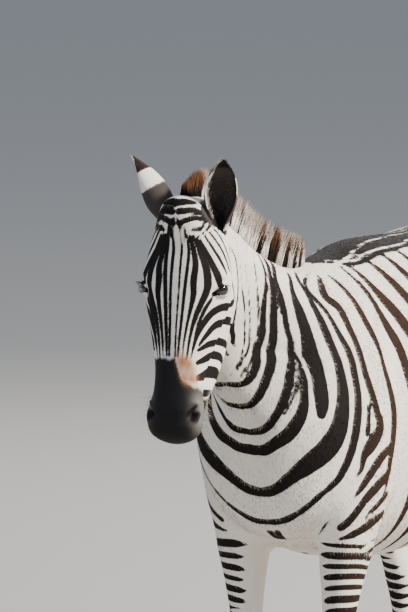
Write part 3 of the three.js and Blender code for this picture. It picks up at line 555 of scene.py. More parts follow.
# The nostrils are deep comma-shaped hollows with a raised rim.
NOSTRIL, NOSTRIL_DEPTH = (47.0, 474.0, -17.0), 20.0


def with_nostrils(p, tri):
    u, v = head_place(p[:, 1], p[:, 2])
    x = np.abs(p[:, 0])
    du, dv = u - NOSTRIL[1], v - NOSTRIL[2]
    long_way = du * 0.86 + dv * 0.5
    cross_way = dv * 0.86 - du * 0.5 + 0.012 * long_way ** 2 - 1.5
    far = np.sqrt((long_way / 22) ** 2 + (cross_way / 8.5) ** 2)
    on_side = (x > 18) & (np.abs(du) < 40) & (np.abs(dv) < 40)
    dip = NOSTRIL_DEPTH * (1 - smooth_step(far / 1.15)) - 2.6 * np.exp(-((far - 1.45) / 0.35) ** 2)
    n = normals_at(p, tri[:, ::-1])
    return p - n * np.where(on_side, dip, 0)[:, None]


EAR_LENGTH = 174.0
# up the ear: radius, half the angle that the wall wraps round, depth as a share of the width
EAR = [(0, 25, 150, 1.0), (0.16, 30, 142, 1.0), (0.34, 37, 118, 0.92), (0.52, 39.5, 102, 0.82),
       (0.7, 35, 94, 0.72), (0.86, 23, 90, 0.62), (0.96, 10.5, 88, 0.6), (1, 5.2, 86, 0.7)]
ear_at = sections(EAR)
# the foot of each ear in the head's axes; lean outwards, tilt back, turn outwards at the foot and
# further turn up to the tip, in degrees
EARS = {"left": (1, (67, 50, -46), 14, -22, 28, 0), "right": (-1, (46, 40, -46), 34, 0, 125, -50)}


def ear_turn(side, lean, tilt, faces):
    """Turns an ear's own axes (across, back, up) to (x, -s, z) of the body."""
    return (Matrix.Rotation(math.radians(side * lean), 3, "Y")
            @ Matrix.Rotation(math.radians(-tilt), 3, "X")
            @ Matrix.Rotation(math.radians(side * faces), 3, "Z"))


def ear_points(name, around, along, deep_by):
    """Body points on an ear's wall, deep_by mm inside its outer face. around runs from -1 to 1."""
    side, foot, lean, tilt, faces, twist = EARS[name]
    radius, wrap, deep = ear_at(along)
    r, a = radius - deep_by, np.radians(wrap) * around
    across, back, k = r * np.sin(a), r * deep * np.cos(a), np.radians(side * twist) * along
    own = np.stack([across * np.cos(k) - back * np.sin(k), across * np.sin(k) + back * np.cos(k),
                    along * EAR_LENGTH], 1)
    turned = own @ np.array(ear_turn(side, lean, tilt, faces)).T
    base = from_head(side * foot[0], foot[1], foot[2])
    return np.stack([base[0] + turned[:, 0], base[1] - turned[:, 1], base[2] + turned[:, 2]], 1)


def new_ear(name):
    sheet = bmesh.new()
    bmesh.ops.create_grid(sheet, x_segments=30, y_segments=54, size=1.0)
    co = np.array([v.co[:] for v in sheet.verts])
    around, along = co[:, 0], (co[:, 1] + 1) / 2
    outer = ear_points(name, around, along, 2.0)
    for v, w in zip(sheet.verts, to_world(outer)):
        v.co = w
    bmesh.ops.recalc_face_normals(sheet, faces=sheet.faces)
    middle = to_world(ear_points(name, np.zeros(1), np.array([0.5]), 20.0))[0]
    sheet.faces.ensure_lookup_table()
    face = min(sheet.faces, key=lambda f: (f.calc_center_median() - Vector(middle)).length)
    if face.normal.dot(face.calc_center_median() - Vector(middle)) < 0:
        bmesh.ops.reverse_faces(sheet, faces=sheet.faces)
    bmesh.ops.solidify(sheet, geom=sheet.verts[:] + sheet.edges[:] + sheet.faces[:], thickness=0.0034)
    bmesh.ops.recalc_face_normals(sheet, faces=sheet.faces)
    ear_mesh = bpy.data.meshes.new("ear_" + name)
    sheet.to_mesh(ear_mesh)
    sheet.free()
    return new_object("ear_" + name + "_shape", ear_mesh)


p = with_nostrils(with_lids(p), triangles_of(mesh))
mesh.vertices.foreach_set("co", to_world(p).astype(np.float32).ravel())
skin.data = mesh
for name in EARS:
    shape = new_ear(name)
    union = skin.modifiers.new("ear", "BOOLEAN")
    union.operation, union.solver, union.object = "UNION", "MANIFOLD", shape
    whole = bpy.data.meshes.new_from_object(skin.evaluated_get(bpy.context.evaluated_depsgraph_get()))
    skin.modifiers.clear()
    skin.data = whole
    bpy.data.objects.remove(shape)
mesh = skin.data
print("skin", len(mesh.vertices), "points", len(triangles_of(mesh)), "triangles")
mesh.polygons.foreach_set("use_smooth", np.ones(len(mesh.polygons), bool))
skin_body = to_body(points_of(mesh))
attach(skin, "root")
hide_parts("trunk", "neck", "head", "ear_left", "ear_right", "tail", *LIMBS)

# ---------------------------------------------------------------- markings
# Black bands on white, the same on the skin and on every hair over it. A band is a row of points
# on the left side, (x, s, z, width) in mm, from the crest or back down to the middle line, and the
# right side has the same bands, shifted a little; on the right half of the face the black is widened as painted shade.
# The legs are banded by height.
NECK_BANDS = [
    [(25, 285, 1370, 7), (74, 303, 1333, 8), (93, 323, 1243, 11), (90, 328, 1160, 12), (77, 347, 1100, 13),
     (44, 367, 1060, 12), (0, 374, 1056, 10)],
    [(30, 262, 1352, 10), (88, 296, 1298, 13), (98, 304, 1202, 14), (102, 321, 1123, 15), (75, 352, 1057, 14),
     (36, 366, 1014, 13), (0, 368, 1004, 12)],
    [(80, 300, 1290, 7), (103, 288, 1241, 9), (111, 286, 1184, 10), (120, 294, 1127, 10), (107, 322, 1062, 15),
     (83, 342, 1004, 18), (46, 352, 957, 18), (0, 347, 942, 15)],
    [(123, 297, 1100, 4), (120, 307, 1070, 6), (112, 319, 1040, 7), (90, 337, 992, 5)],
    [(35, 232, 1338, 10), (86, 279, 1300, 13), (104, 282, 1240, 10), (113, 284, 1178, 7), (121, 286, 1133, 6),
     (126, 295, 1089, 9), (126, 304, 1045, 17), (122, 312, 994, 27), (98, 328, 949, 31), (59, 340, 919, 26),
     (30, 340, 904, 24), (0, 336, 900, 23)],
    [(60, 214, 1304, 8), (98, 246, 1267, 13), (115, 252, 1222, 20), (127, 257, 1172, 22), (138, 269, 1111, 28),
     (148, 273, 1060, 35), (156, 276, 1015, 33), (157, 281, 990, 22)],
    [(46, 168, 1308, 7), (76, 199, 1288, 10), (104, 209, 1253, 13), (133, 217, 1198, 18), (155, 222, 1142, 22),
     (175, 224, 1091, 23), (186, 226, 1040, 30), (190, 238, 990, 38), (184, 257, 940, 48), (161, 281, 901, 50),
     (124, 304, 870, 44), (83, 317, 840, 31), (37, 319, 809, 25), (0, 321, 800, 22)],
    [(50, 135, 1300, 6), (88, 193, 1274, 9), (133, 189, 1210, 14), (171, 185, 1145, 19), (196, 187, 1083, 21),
     (208, 189, 1014, 23), (209, 204, 941, 26), (199, 221, 884, 27), (174, 242, 830, 26), (132, 267, 787, 24),
     (85, 276, 751, 20), (38, 276, 728, 20), (0, 282, 720, 18)],
    [(78, 405, 1365, 3), (78, 389, 1299, 5), (72, 364, 1228, 5), (68, 353, 1158, 5), (56, 362, 1112, 5),
     (24, 372, 1076, 4)],
    [(80, 380, 1345, 3), (81, 376, 1321, 5), (81, 359, 1251, 5), (75, 343, 1180, 5), (74, 350, 1135, 5),
     (45, 366, 1090, 4)],
    [(69, 332, 1359, 4), (84, 342, 1319, 5), (89, 338, 1249, 6), (84, 330, 1180, 6), (80, 346, 1121, 6),
     (44, 367, 1076, 5)],
]
SHOULDER_BANDS = [
    [(60, 105, 1295, 8), (108, 157, 1252, 27), (132, 137, 1222, 28), (162, 139, 1175, 23), (197, 153, 1114, 21),
     (214, 145, 1050, 23), (226, 121, 979, 27), (228, 105, 942, 31), (224, 140, 911, 40), (216, 171, 885, 28),
     (211, 180, 851, 18), (193, 209, 819, 11), (163, 225, 773, 9), (126, 221, 726, 6)],
    [(219, 158, 997, 9), (221, 159, 965, 14), (220, 162, 937, 20)],
    [(74, 70, 1289, 12), (131, 61, 1235, 22), (171, 58, 1173, 27), (200, 50, 1105, 31), (215, 30, 1032, 33),
     (224, 25, 968, 32), (228, 40, 894, 28), (226, 58, 832, 22), (223, 70, 786, 10)],
    [(181, 204, 768, 5), (205, 179, 801, 20), (221, 134, 846, 27), (227, 97, 871, 28), (222, 62, 886, 20)],
    [(155, 195, 710, 20), (182, 186, 731, 23), (208, 160, 773, 25), (220, 125, 798, 27), (225, 89, 815, 25),
     (222, 52, 832, 16)],
    [(203, 152, 733, 6), (216, 122, 750, 15), (222, 84, 768, 18), (220, 54, 780, 12)],
    [(148, 186, 684, 8), (177, 174, 692, 17), (197, 150, 704, 22), (208, 115, 718, 24), (206, 60, 735, 20)],
    [(165, 214, 756, 6), (127, 216, 717, 10), (97, 200, 687, 5)],
    [(10, 246, 699, 14), (4, 200, 676, 18), (0, 160, 664, 10)],
]
# down the flank: s at the back, half way down and at the belly, and the width half way down
FLANK_BANDS = [(-9, -70, -118, 31), (-42, -158, -185, 36), (-120, -246, -262, 36), (-190, -328, -338, 38),
               (-262, -408, -408, 37), (-334, -484, -474, 40), (-402, -552, -532, 38)]
FLANK_DROP = (1292, 1000, 660)
HAUNCH_BANDS = [
    [(30, -470, 1350, 10), (120, -520, 1318, 26), (200, -578, 1225, 36), (245, -618, 1110, 42), (262, -628, 980, 44),
     (258, -616, 850, 40), (222, -600, 740, 30), (150, -590, 672, 16)],
    [(110, -720, 1325, 8), (180, -730, 1265, 26), (235, -742, 1160, 44), (258, -730, 1040, 50), (255, -706, 920, 48),
     (228, -684, 810, 40), (180, -668, 735, 24), (120, -650, 690, 12)],
    [(40, -880, 1325, 10), (110, -880, 1285, 34), (185, -870, 1205, 50), (236, -830, 1090, 54), (246, -786, 970, 52),
     (228, -752, 860, 46), (196, -730, 775, 34), (160, -712, 715, 18)],
    [(28, -985, 1262, 12), (95, -965, 1215, 36), (165, -935, 1120, 50), (212, -890, 1010, 52), (222, -845, 910, 46),
     (206, -808, 820, 38), (178, -780, 745, 26)],
    [(60, -1046, 1150, 22), (120, -1010, 1070, 40), (172, -962, 970, 44), (196, -912, 880, 40), (196, -868, 800, 34),
     (176, -830, 735, 24)],
    [(40, -1075, 985, 12), (100, -1050, 905, 24), (150, -1003, 832, 26), (170, -955, 775, 18)],
    [(75, -1052, 790, 14), (120, -1015, 748, 22), (150, -965, 712, 16)],
    [(28, -1068, 1095, 12), (90, -1050, 1010, 22), (138, -1010, 935, 24), (166, -960, 862, 14)],
    [(48, -1070, 1040, 20), (105, -1042, 960, 34), (152, -996, 880, 36), (176, -946, 810, 32), (176, -898, 748, 26),
     (160, -862, 700, 18)],
    [(70, -1066, 900, 22), (120, -1030, 838, 30), (152, -980, 782, 30), (160, -930, 730, 26), (150, -888, 690, 18)],
    [(32, -600, 1352, 14), (110, -622, 1325, 22), (170, -640, 1262, 20), (205, -655, 1195, 8)],
    [(32, -700, 1350, 16), (90, -715, 1330, 20), (140, -724, 1292, 8)],
    [(30, -790, 1345, 16), (85, -800, 1322, 20), (140, -808, 1270, 10)],
]
# across the face and cheek: x, u down the face, v out of it, width
FACE_BANDS = [
    [(4, 44, 44, 6), (10, 78, 30, 5), (10, 130, 24, 6), (10, 200, 22, 5), (8, 270, 18, 5), (7, 350, 10, 5)],
    [(12, 50, 42, 6), (22, 78, 28, 6), (27, 116, 20, 7), (27, 152, 22, 8), (24, 200, 22, 8), (20, 260, 16, 7),
     (16, 313, 12, 6), (14, 350, 8, 5)],
    [(30, 82, 26, 7), (39, 115, 17, 12), (45, 146, 17, 14), (43, 178, 18, 15), (44, 209, 15, 13), (40, 236, 13, 10),
     (34, 268, 12, 7), (27, 312, 8, 5), (24, 350, 5, 4)],
    [(37, 80, 24, 7), (50, 105, 12, 12), (64, 140, 6, 16), (72, 171, 4, 18), (72, 198, 2, 17), (63, 225, 5, 14),
     (51, 256, 6, 12), (42, 289, 5, 8), (36, 325, 2, 6), (33, 356, 0, 5)],
    [(46, 79, 18, 5), (60, 108, 4, 11), (78, 138, -3, 14), (90, 165, -12, 17), (93, 184, -22, 14)],
    [(84, 208, -14, 6), (71, 236, -4, 9), (57, 272, -1, 8), (49, 311, -2, 6), (43, 352, -4, 4)],
    [(34, 68, 28, 5), (46, 66, 21, 5), (57, 73, 11, 5), (76, 104, -8, 6), (91, 132, -24, 8), (98, 156, -38, 7)],
    [(38, 60, 32, 4), (56, 60, 14, 5), (71, 69, 0, 5), (88, 96, -22, 6), (97, 124, -42, 7), (100, 148, -58, 6)],
    [(58, 52, 16, 4), (70, 58, -8, 5), (80, 70, -25, 5), (92, 98, -45, 6), (97, 128, -66, 6), (99, 160, -82, 5)],
    [(76, 200, -165, 8), (78, 212, -150, 14), (88, 224, -100, 17), (95, 232, -46, 18), (80, 248, -20, 17),
     (63, 277, -8, 14), (52, 304, -4, 10), (46, 333, -4, 5)],
    [(52, 300, -240, 8), (56, 280, -235, 12), (58, 262, -215, 14), (66, 254, -170, 17), (74, 256, -120, 19),
     (84, 264, -75, 19), (82, 275, -39, 18), (64, 308, -18, 10), (56, 322, -14, 5)],
    [(40, 330, -240, 8), (58, 316, -200, 12), (63, 307, -165, 16), (64, 304, -122, 17), (72, 309, -75, 17),
     (71, 317, -38, 15), (56, 333, -14, 8)],
    [(56, 352, -175, 10), (59, 343, -155, 15), (60, 336, -126, 18), (68, 338, -85, 20), (66, 346, -50, 19),
     (54, 361, -19, 10)],
    [(40, 392, -180, 12), (52, 380, -150, 20), (57, 375, -125, 25), (54, 375, -97, 26), (58, 384, -60, 24),
     (55, 394, -27, 14)],
    [(50, 420, -118, 10), (50, 423, -100, 16), (54, 429, -75, 16), (58, 436, -52, 10)],
    [(6, 56, 46, 10), (22, 49, 45, 12), (44, 40, 32, 11), (65, 42, 0, 9), (77, 49, -21, 7)],
    [(8, 28, 50, 14), (20, 26, 49, 14), (39, 22, 35, 12), (58, 30, 9, 9), (73, 40, -17, 6)],
    [(0, 8, 46, 18), (20, 4, 40, 16), (38, 4, 26, 10)],
    [(90, 92, -70, 5), (92, 120, -112, 7), (92, 175, -148, 7), (82, 240, -185, 7), (74, 290, -200, 7), (62, 335, -205, 5)],
    [(84, 84, -100, 5), (88, 110, -150, 7), (84, 185, -192, 7), (72, 250, -222, 7), (60, 310, -240, 6)],
]
# the black of the back, a dorsal stripe widened by painted shade: s and half width
BACK = [(-760, 20), (-600, 34), (-460, 66), (-308, 86), (-165, 86), (-90, 78), (-41, 66), (49, 22)]
BAND_FULLNESS = 1.08


def through(rows, step=5.0):
    """Close points along a smooth line through the rows of a band."""
    rows = np.array(rows, float)
    padded = np.vstack([2 * rows[0] - rows[1], rows, 2 * rows[-1] - rows[-2]])
    made = []
    for k in range(1, len(padded) - 2):
        p0, p1, p2, p3 = padded[k - 1:k + 3]
        count = max(int(np.linalg.norm((p2 - p1)[:3]) / step), 1)
        t = (np.arange(count) / count)[:, None]
        made.append(0.5 * (2 * p1 + (p2 - p0) * t + (2 * p0 - 5 * p1 + 4 * p2 - p3) * t ** 2
                           + (3 * p1 - p0 - 3 * p2 + p3) * t ** 3))
    made.append(rows[-1:])
    return np.vstack(made)


def flank_rows(back, middle, belly, width):
    z = np.array([FLANK_DROP[0], 1230, 1130, FLANK_DROP[1], 880, 760, FLANK_DROP[2], 620])
    s = np.interp(-z, [-FLANK_DROP[0], -1130, -FLANK_DROP[1], -FLANK_DROP[2]],
                  [back, (back + 2 * middle) / 3, middle, belly])
    x = np.array([60, 150, 230, 262, 265, 235, 160, 90])
    return np.stack([x, s, z, width * np.array([0.3, 0.8, 1.0, 1.0, 0.95, 0.8, 0.55, 0.25])], 1)


bands = NECK_BANDS + SHOULDER_BANDS + HAUNCH_BANDS + [flank_rows(*row) for row in FLANK_BANDS]
band_points = np.vstack([through(rows) for rows in bands])
face_points = np.vstack([through(rows, 3.0) for rows in FACE_BANDS])
face_points[:, :3] = np.stack([from_head(x, u, v) for x, u, v, _ in face_points])
band_points = np.vstack([band_points, face_points])
band_place, band_half = on_skin(band_points[:, :3]), band_points[:, 3] / 2 * BAND_FULLNESS


def wander(p, scale, seed):
    """A smooth number between about -1 and 1 at each point."""
    rng = np.random.default_rng(seed)
    total = 0.0
    for _ in range(5):
        way = rng.normal(size=3)
        total = total + np.sin(p @ (way / np.linalg.norm(way)) * rng.uniform(0.6, 1.6) * 6.28 / scale
                               + rng.uniform(0, 6.28))
    return total / 3.0


def nearest_band(p):
    """How far each point is outside the nearest band, looked up cell by cell."""
    cell, reach = 60.0, 62.0
    found = np.full(len(p), 55.0)
    key = np.floor(p / cell).astype(int)
    order = np.lexsort(key.T)
    edges = np.flatnonzero(np.any(np.diff(key[order], axis=0), axis=1)) + 1
    for group in np.split(order, edges):
        centre = (key[group[0]] + 0.5) * cell
        near = (np.abs(band_place - centre) < cell / 2 + reach).all(1)
        if near.any():
            d = np.linalg.norm(p[group][:, None] - band_place[near][None], axis=2) - band_half[near]
            found[group] = np.minimum(found[group], d.min(1))
    return found


# heights of the bands on the legs, and how they tilt
LEG_BANDS = np.array([92, 116, 140, 166, 190, 213, 237, 262, 286, 309, 334, 360, 384, 408, 434, 459, 484, 510, 536,
                      562, 588, 614, 641, 668, 696], float)
RING_RNG = np.random.default_rng(5)
LEG_HALF = 6.4 + 1.6 * RING_RNG.uniform(-1, 1, len(LEG_BANDS))


def leg_rings(p):
    x, s, z = p.T
    fore = s > -400
    shift = np.where(fore, 0, stride(x, z))
    curve = np.where(fore, 1, 0)
    best = np.full(len(p), 55.0)
    for is_fore, at in ((1, foreleg_at), (0, hindleg_at)):
        front, back, middle, half = at(np.clip(z, 72, 1080))
        along = (s - shift - (front + back) / 2) / np.maximum(front - back, 1) * 2
        across = (np.abs(x) - middle) / half
        level = z + 9 * along * np.where(z > 500, -1, 1) - 7 * across * smooth_step((640 - z) / 60) \
            + 7 * across * smooth_step((z - 640) / 50) + 5 * wander(p, 150, 3 + is_fore) + 6 * np.sign(x)
        inner = smooth_step((-across - 0.15) / 0.7) * smooth_step((z - 300) / 250)
        d = np.abs(level[:, None] - LEG_BANDS[None]) - LEG_HALF[None] * (1 + 0.25 * smooth_step((across + along) / 1.4))[:, None]
        ring = d.min(1) + 9 * inner
        top = 676 if is_fore else 690
        ring = ring + 40 * smooth_step((z - top) / 10)
        ring = ring + 3 * np.maximum(leg_field(x, s - shift, z, at) - 7, 0)
        best = np.where(curve == is_fore, ring, best)
    return best


def ear_place(p, name):
    """Each point in one ear's own axes: share of its height, share round its wall, and how far
    inside the wall's outer face it lies; and whether it is on that ear."""
    side, foot, lean, tilt, faces, twist = EARS[name]
    base = from_head(side * foot[0], foot[1], foot[2])
    d = np.stack([p[:, 0] - base[0], base[1] - p[:, 1], p[:, 2] - base[2]], 1)
    across, back, up = (d @ np.array(ear_turn(side, lean, tilt, faces))).T
    t = up / EAR_LENGTH
    k = -np.radians(side * twist) * t
    across, back = across * np.cos(k) - back * np.sin(k), across * np.sin(k) + back * np.cos(k)
    radius, wrap, deep = ear_at(np.clip(t, 0, 1))
    r, a = np.hypot(across, back / deep), np.degrees(np.arctan2(across, back / deep))
    on = (t > 0.02) & (t < 1.12) & (r < radius + 9) & ((np.abs(a) < wrap + 25) | (t > 0.9))
    return t, a / wrap, radius - r, on & (head_field(*p.T) > 3.0)


def markings(p):
    """ink: mm outside the black; tint: sunlit brown, muzzle, tan; grey: how grey the hair is. The sunlit brown is a
    little brown in all the black, the coat's own, and much more over the body behind the shoulder and low on the left
    side, where the sun falls: painted sunlight.
    """
    x, s, z = p.T
    u, v = head_place(s, z)
    on_head = smooth_step((np.minimum((s - 468) * 0.947 - (z - 1490) * 0.321,
                                      (s - 352) * 0.669 + (z - 1140) * 0.743) + 12) / 24)
    q = p.copy()
    right = smooth_step(-x / 60)
    off = right * (1 - on_head)
    q[:, 0] = np.abs(x - 14 * smooth_step((s - 100) / 150) * smooth_step((1000 - z) / 200))
    q[:, 1] += off * (7 * wander(p, 420, 11) - 5) + off * 10 * smooth_step((-s - 100) / 200)
    q[:, 2] += off * 9 * wander(p, 380, 12)
    q[:, 2] += right * on_head * 3.0 * wander(p, 120, 13)
    ink = nearest_band(q) + 0.6 * wander(p, 45, 14) * (1 - on_head)
    # painted shade: the black is widened on the animal's right half of the face above the muzzle, the side that lies
    # in shade
    ink = ink - 1.3 * on_head * smooth_step((-x + 2) / 12) * smooth_step((v + 95) / 40) * smooth_step((345 - u) / 30)
    leg = leg_rings(p)
    low = smooth_step((735 - z) / 40) * (z < 735)
    ink = np.where(z < 735, np.minimum(ink, leg + 30 * (1 - low)), ink)
    # the back: a black saddle line, wide behind the withers, with a thin white line in it; it is the dorsal stripe,
    # widened behind the withers by painted shade
    over = smooth_step((z - 1200) / 40) * (1 - on_head)
    half = sections(BACK)(s)[0] + 2 * wander(p, 120, 17)
    dorsal_and_shade = np.abs(x) - half
    for line in (half - 16, np.interp(s, [-480, -20], [12, 52])):
        dorsal_and_shade = np.maximum(dorsal_and_shade, np.where(half > 40, 3.6 - np.abs(np.abs(x) - line - 1.5 * wander(p, 200, 15)), -9))
    ink = np.where((over > 0.5) & (s < 60), np.minimum(ink, dorsal_and_shade), ink)
    # the dock is black above, white below, with a few rings
    dock = dock_field(x, s, z) < flesh(p) + 9
    dock &= (s < -1010) & (z < 1245)
    rings = np.abs((z - 905) % 34 - 17) - 7.5 + 4 * smooth_step(np.abs(x) / 18)
    ink = np.where(dock, np.minimum(rings, np.abs(x) - 5.0), ink)
    # belly
    belly = (z < 760) & (np.abs(x) < 60) & (s < 60) & (s > -640)
    ink = np.where(belly, np.minimum(ink, np.abs(x) - 6), ink)
    # painted sunlight: the black is browner over the body behind the shoulder and low on the left side, where the sun
    # falls, and stays near black on the head and the saddle of the back; a little brown everywhere is the coat's own
    sunlit_brown = smooth_step((230 - s) / 160) * smooth_step((z - 520) / 200) * (1 - on_head)
    sunlit_brown = sunlit_brown * (1 - over * smooth_step((half + 14 - np.abs(x)) / 12))
    sunlit_brown = 0.15 + 0.85 * np.maximum(sunlit_brown, 0.75 * smooth_step((x - 120) / 60) * smooth_step((760 - z) / 120))
    # head: crown, muzzle and the tan above it; the tan is the coat's own colour but lies only on the left side, and
    # its lack on the right side is painted shade
    edge = 350 + np.interp(x, [8, 19, 38, 60], [0, 34, 56, 66]) + 8 * smooth_step((-x - 44) / 20)
    edge = edge + 20 * smooth_step((-v - 40) / 40) + 3 * wander(p, 30, 16)
    muzzle = smooth_step((u - edge) / 9) * on_head
    chin = smooth_step((-v - 100) / 14) * smooth_step((u - 400) / 30) * on_head
    slant = (x - 32) - 0.30 * (u - 378)
    tan = np.clip(1.25 * np.exp(-((slant / 17) ** 4 + ((u - 378) / 33) ** 4)), 0, 1)
    tan = tan * (0.88 + 0.12 * wander(p, 22, 18)) * on_head * smooth_step((v + 38) / 18)
    lip = np.exp(-(((np.abs(x) - 62) / 18) ** 2 + ((u - 468) / 44) ** 2 + ((v + 40) / 34) ** 2))
    grey = 0.85 * np.clip(lip * 1.3, 0, 1) * on_head + 0.6 * chin
    grey = grey * smooth_step((np.hypot((u - NOSTRIL[1]) / 24, (v - NOSTRIL[2]) / 12) - 0.7) / 0.5)
    # round the eye
    along, up, out, r = eye_place(p)
    gap = beyond_slit(p)
    rim = (r < 34) & (out > 0)
    ink = np.where(rim & (gap < 3.4), np.minimum(ink, gap - 3.4), ink)
    corner = np.hypot((along + 20) / 1.5, up - 1)
    ink = np.where(rim, np.minimum(ink, corner - 6), ink)
    sunlit_brown = np.where(on_head > 0.5, 0.12, sunlit_brown)
    # ears: the back is white with black low down and at the tip, and its lower half is greyed as painted shade; the
    # hollow is black and grey as painted shade, with a black rim and white along its medial side
    for name in EARS:
        t, around, deep, on = ear_place(p, name)
        side = EARS[name][0]
        outer = np.where(t > 0.74, (0.74 - t) * 90, np.where(t > 0.50, 9, 6 * np.abs(t - 0.30) / 0.2 - 6))
        hollow = (t > -0.10) & (t < 1.0) & (deep > 3.0) & (np.abs(around) < 1.6)
        inside, on = hollow, on | hollow
        rim = (np.abs(around) > 0.80) | (t > 0.86)
        medial = (around * side < -0.55) & (t > 0.30) & (t < 0.80)
        inner = np.where(medial, 8.0, np.where(rim, -8.0, -4.0))
        ink = np.where(on, np.where(inside, inner, outer), ink)
        grey = np.where(on, np.where(inside & ~medial & ~rim, 0.2, np.where(~inside & (t < 0.5), 0.22, 0.0)), grey)
        sunlit_brown = np.where(on, np.where(~inside & (t > 0.72), 0.7, 0.2), sunlit_brown)
    return ink, np.stack([sunlit_brown, np.clip(muzzle, 0, 1), np.clip(tan, 0, 1)], 1), grey


def keep(mesh, name, values):
    """Stores one number or one vector per point of the mesh."""
    values = np.asarray(values, np.float32)
    if values.ndim == 1:
        mesh.attributes.new(name, "FLOAT", "POINT").data.foreach_set("value", values)
    else:
        mesh.attributes.new(name, "FLOAT_VECTOR", "POINT").data.foreach_set("vector", values.ravel())


skin_ink, skin_tint, skin_grey = markings(skin_body)
keep(mesh, "ink", skin_ink)
keep(mesh, "tint", skin_tint)
keep(mesh, "hair", np.stack([np.zeros(len(skin_ink)), np.zeros(len(skin_ink)), skin_grey], 1))

# SUNLIT_CHOCOLATE is the brown of the black where the sun falls: painted sunlight
BLACK, SUNLIT_CHOCOLATE = (0.005, 0.0045, 0.0045, 1), (0.030, 0.0135, 0.0075, 1)
WHITE, SHADED_WHITE = (0.86, 0.81, 0.74, 1), (0.72, 0.66, 0.58, 1)
MUZZLE, TAN = (0.009, 0.008, 0.008, 1), (0.33, 0.145, 0.066, 1)
GREY, TIPS = (0.20, 0.182, 0.168, 1), (0.15, 0.062, 0.028, 1)


def coat_material(name, bump):
    material, tree, shader = new_material(name)
    place = node(tree, "ShaderNodeTexCoord", out="Object")
    ink = node(tree, "ShaderNodeAttribute", {"attribute_name": "ink"}, out="Fac")
    tint = node(tree, "ShaderNodeAttribute", {"attribute_name": "tint"}, out="Vector")
    hair = node(tree, "ShaderNodeAttribute", {"attribute_name": "hair"}, out="Vector")
    sunlit_brown, muzzle, tan = (node(tree, "ShaderNodeSeparateXYZ", {}, {0: tint}, out=k) for k in range(3))
    shade, tip, grey = (node(tree, "ShaderNodeSeparateXYZ", {}, {0: hair}, out=k) for k in range(3))
    fuzz = (noise(tree, place, 420, 3.0) - 0.5) * 4.0
    white_share = node(tree, "ShaderNodeMapRange", {"interpolation_type": "SMOOTHSTEP", "clamp": True},
                       {"Value": ink + fuzz, "From Min": -0.9, "From Max": 1.1})
    blotch = noise(tree, place, 9.0, 3.0)
    # the black turns brown by the sunlit brown share: painted sunlight
    black = mix(tree, sunlit_brown * (0.55 + blotch * 0.7), BLACK, SUNLIT_CHOCOLATE)
    white = mix(tree, blotch * 0.8 + noise(tree, place, 160, 2.0) * 0.35 - 0.2, WHITE, SHADED_WHITE)
    colour = mix(tree, white_share, black, white)
    colour = mix(tree, muzzle, colour, MUZZLE)
    colour = mix(tree, grey, colour, GREY)
    colour = mix(tree, tan, colour, TAN)
    colour = mix(tree, tip, colour, TIPS)
    darker = mix(tree, 1.0, colour, (0.62, 0.60, 0.58, 1))
    darker.link.node.blend_type = "MULTIPLY"
    colour = mix(tree, shade, colour, darker)
    feed(tree, shader, Base_Color=colour, Roughness=0.62 + noise(tree, place, 240) * 0.25 - muzzle * 0.18)
    shader.inputs["Specular IOR Level"].default_value = 0.14
    grain = noise(tree, place, 380, 4.0, 0.6)
    bumped = node(tree, "ShaderNodeBump", {}, {"Height": grain, "Strength": bump, "Distance": 0.0012}, out="Normal")
    feed(tree, shader, Normal=bumped)
    return material


skin.data.materials.clear()
skin.data.materials.append(coat_material("coat", 0.6))

# ---------------------------------------------------------------- coat
# Short hair in thin tufts that overlap and lie along the body: down the face, back and down the
# neck and barrel, down the legs. They are smallest on the face and feet.
def lie_of_hair(p):
    """The way that the hair lies at each body point, before it is laid along the skin."""
    x, s, z = p.T
    u, v = head_place(s, z)
    head_share = smooth_step((np.minimum((s - 468) * 0.947 - (z - 1490) * 0.321,
                                         (s - 352) * 0.669 + (z - 1140) * 0.743) + 25) / 70)[:, None]
    c, h = math.cos(HEAD_PITCH), math.sin(HEAD_PITCH)
    side = np.sign(x)
    cheek = smooth_step((-v - 30) / 60)[:, None]
    face = np.stack([0.35 * side, np.full(len(x), c), np.full(len(x), -h)], 1)
    back = np.stack([0.1 * side, np.full(len(x), -0.75), np.full(len(x), -0.75)], 1)
    on_head = face * (1 - cheek) + back * cheek
    neck_t, _ = neck_place(s, z)
    neck_share = smooth_step((neck_t - 60) / 160)[:, None]
    trunk = np.stack([np.zeros(len(x)), np.full(len(x), -0.9), np.full(len(x), -0.42)], 1)
    neck = np.stack([np.zeros(len(x)), np.full(len(x), -0.62), np.full(len(x), -0.78)], 1)
    breast = smooth_step((s - 150) / 120)[:, None] * smooth_step((1060 - z) / 120)[:, None]
    way = trunk * (1 - neck_share) + neck * neck_share
    way = way * (1 - breast) + np.array([0, -0.25, -1.0]) * breast
    leg = smooth_step((800 - z) / 160)[:, None] * smooth_step((np.abs(x) - 40) / 40)[:, None]
    way = way * (1 - leg) + np.array([0, -0.15, -1.0]) * leg
    way = way * (1 - head_share) + on_head * head_share
    for name in EARS:
        t, around, deep, on = ear_place(p, name)
        side_, foot, lean, tilt, faces, twist = EARS[name]
        up = np.array(ear_turn(side_, lean, tilt, faces)) @ np.array([0, 0, 1.0])
        way = np.where(on[:, None], np.array([up[0], -up[1], up[2]]), way)
    return way


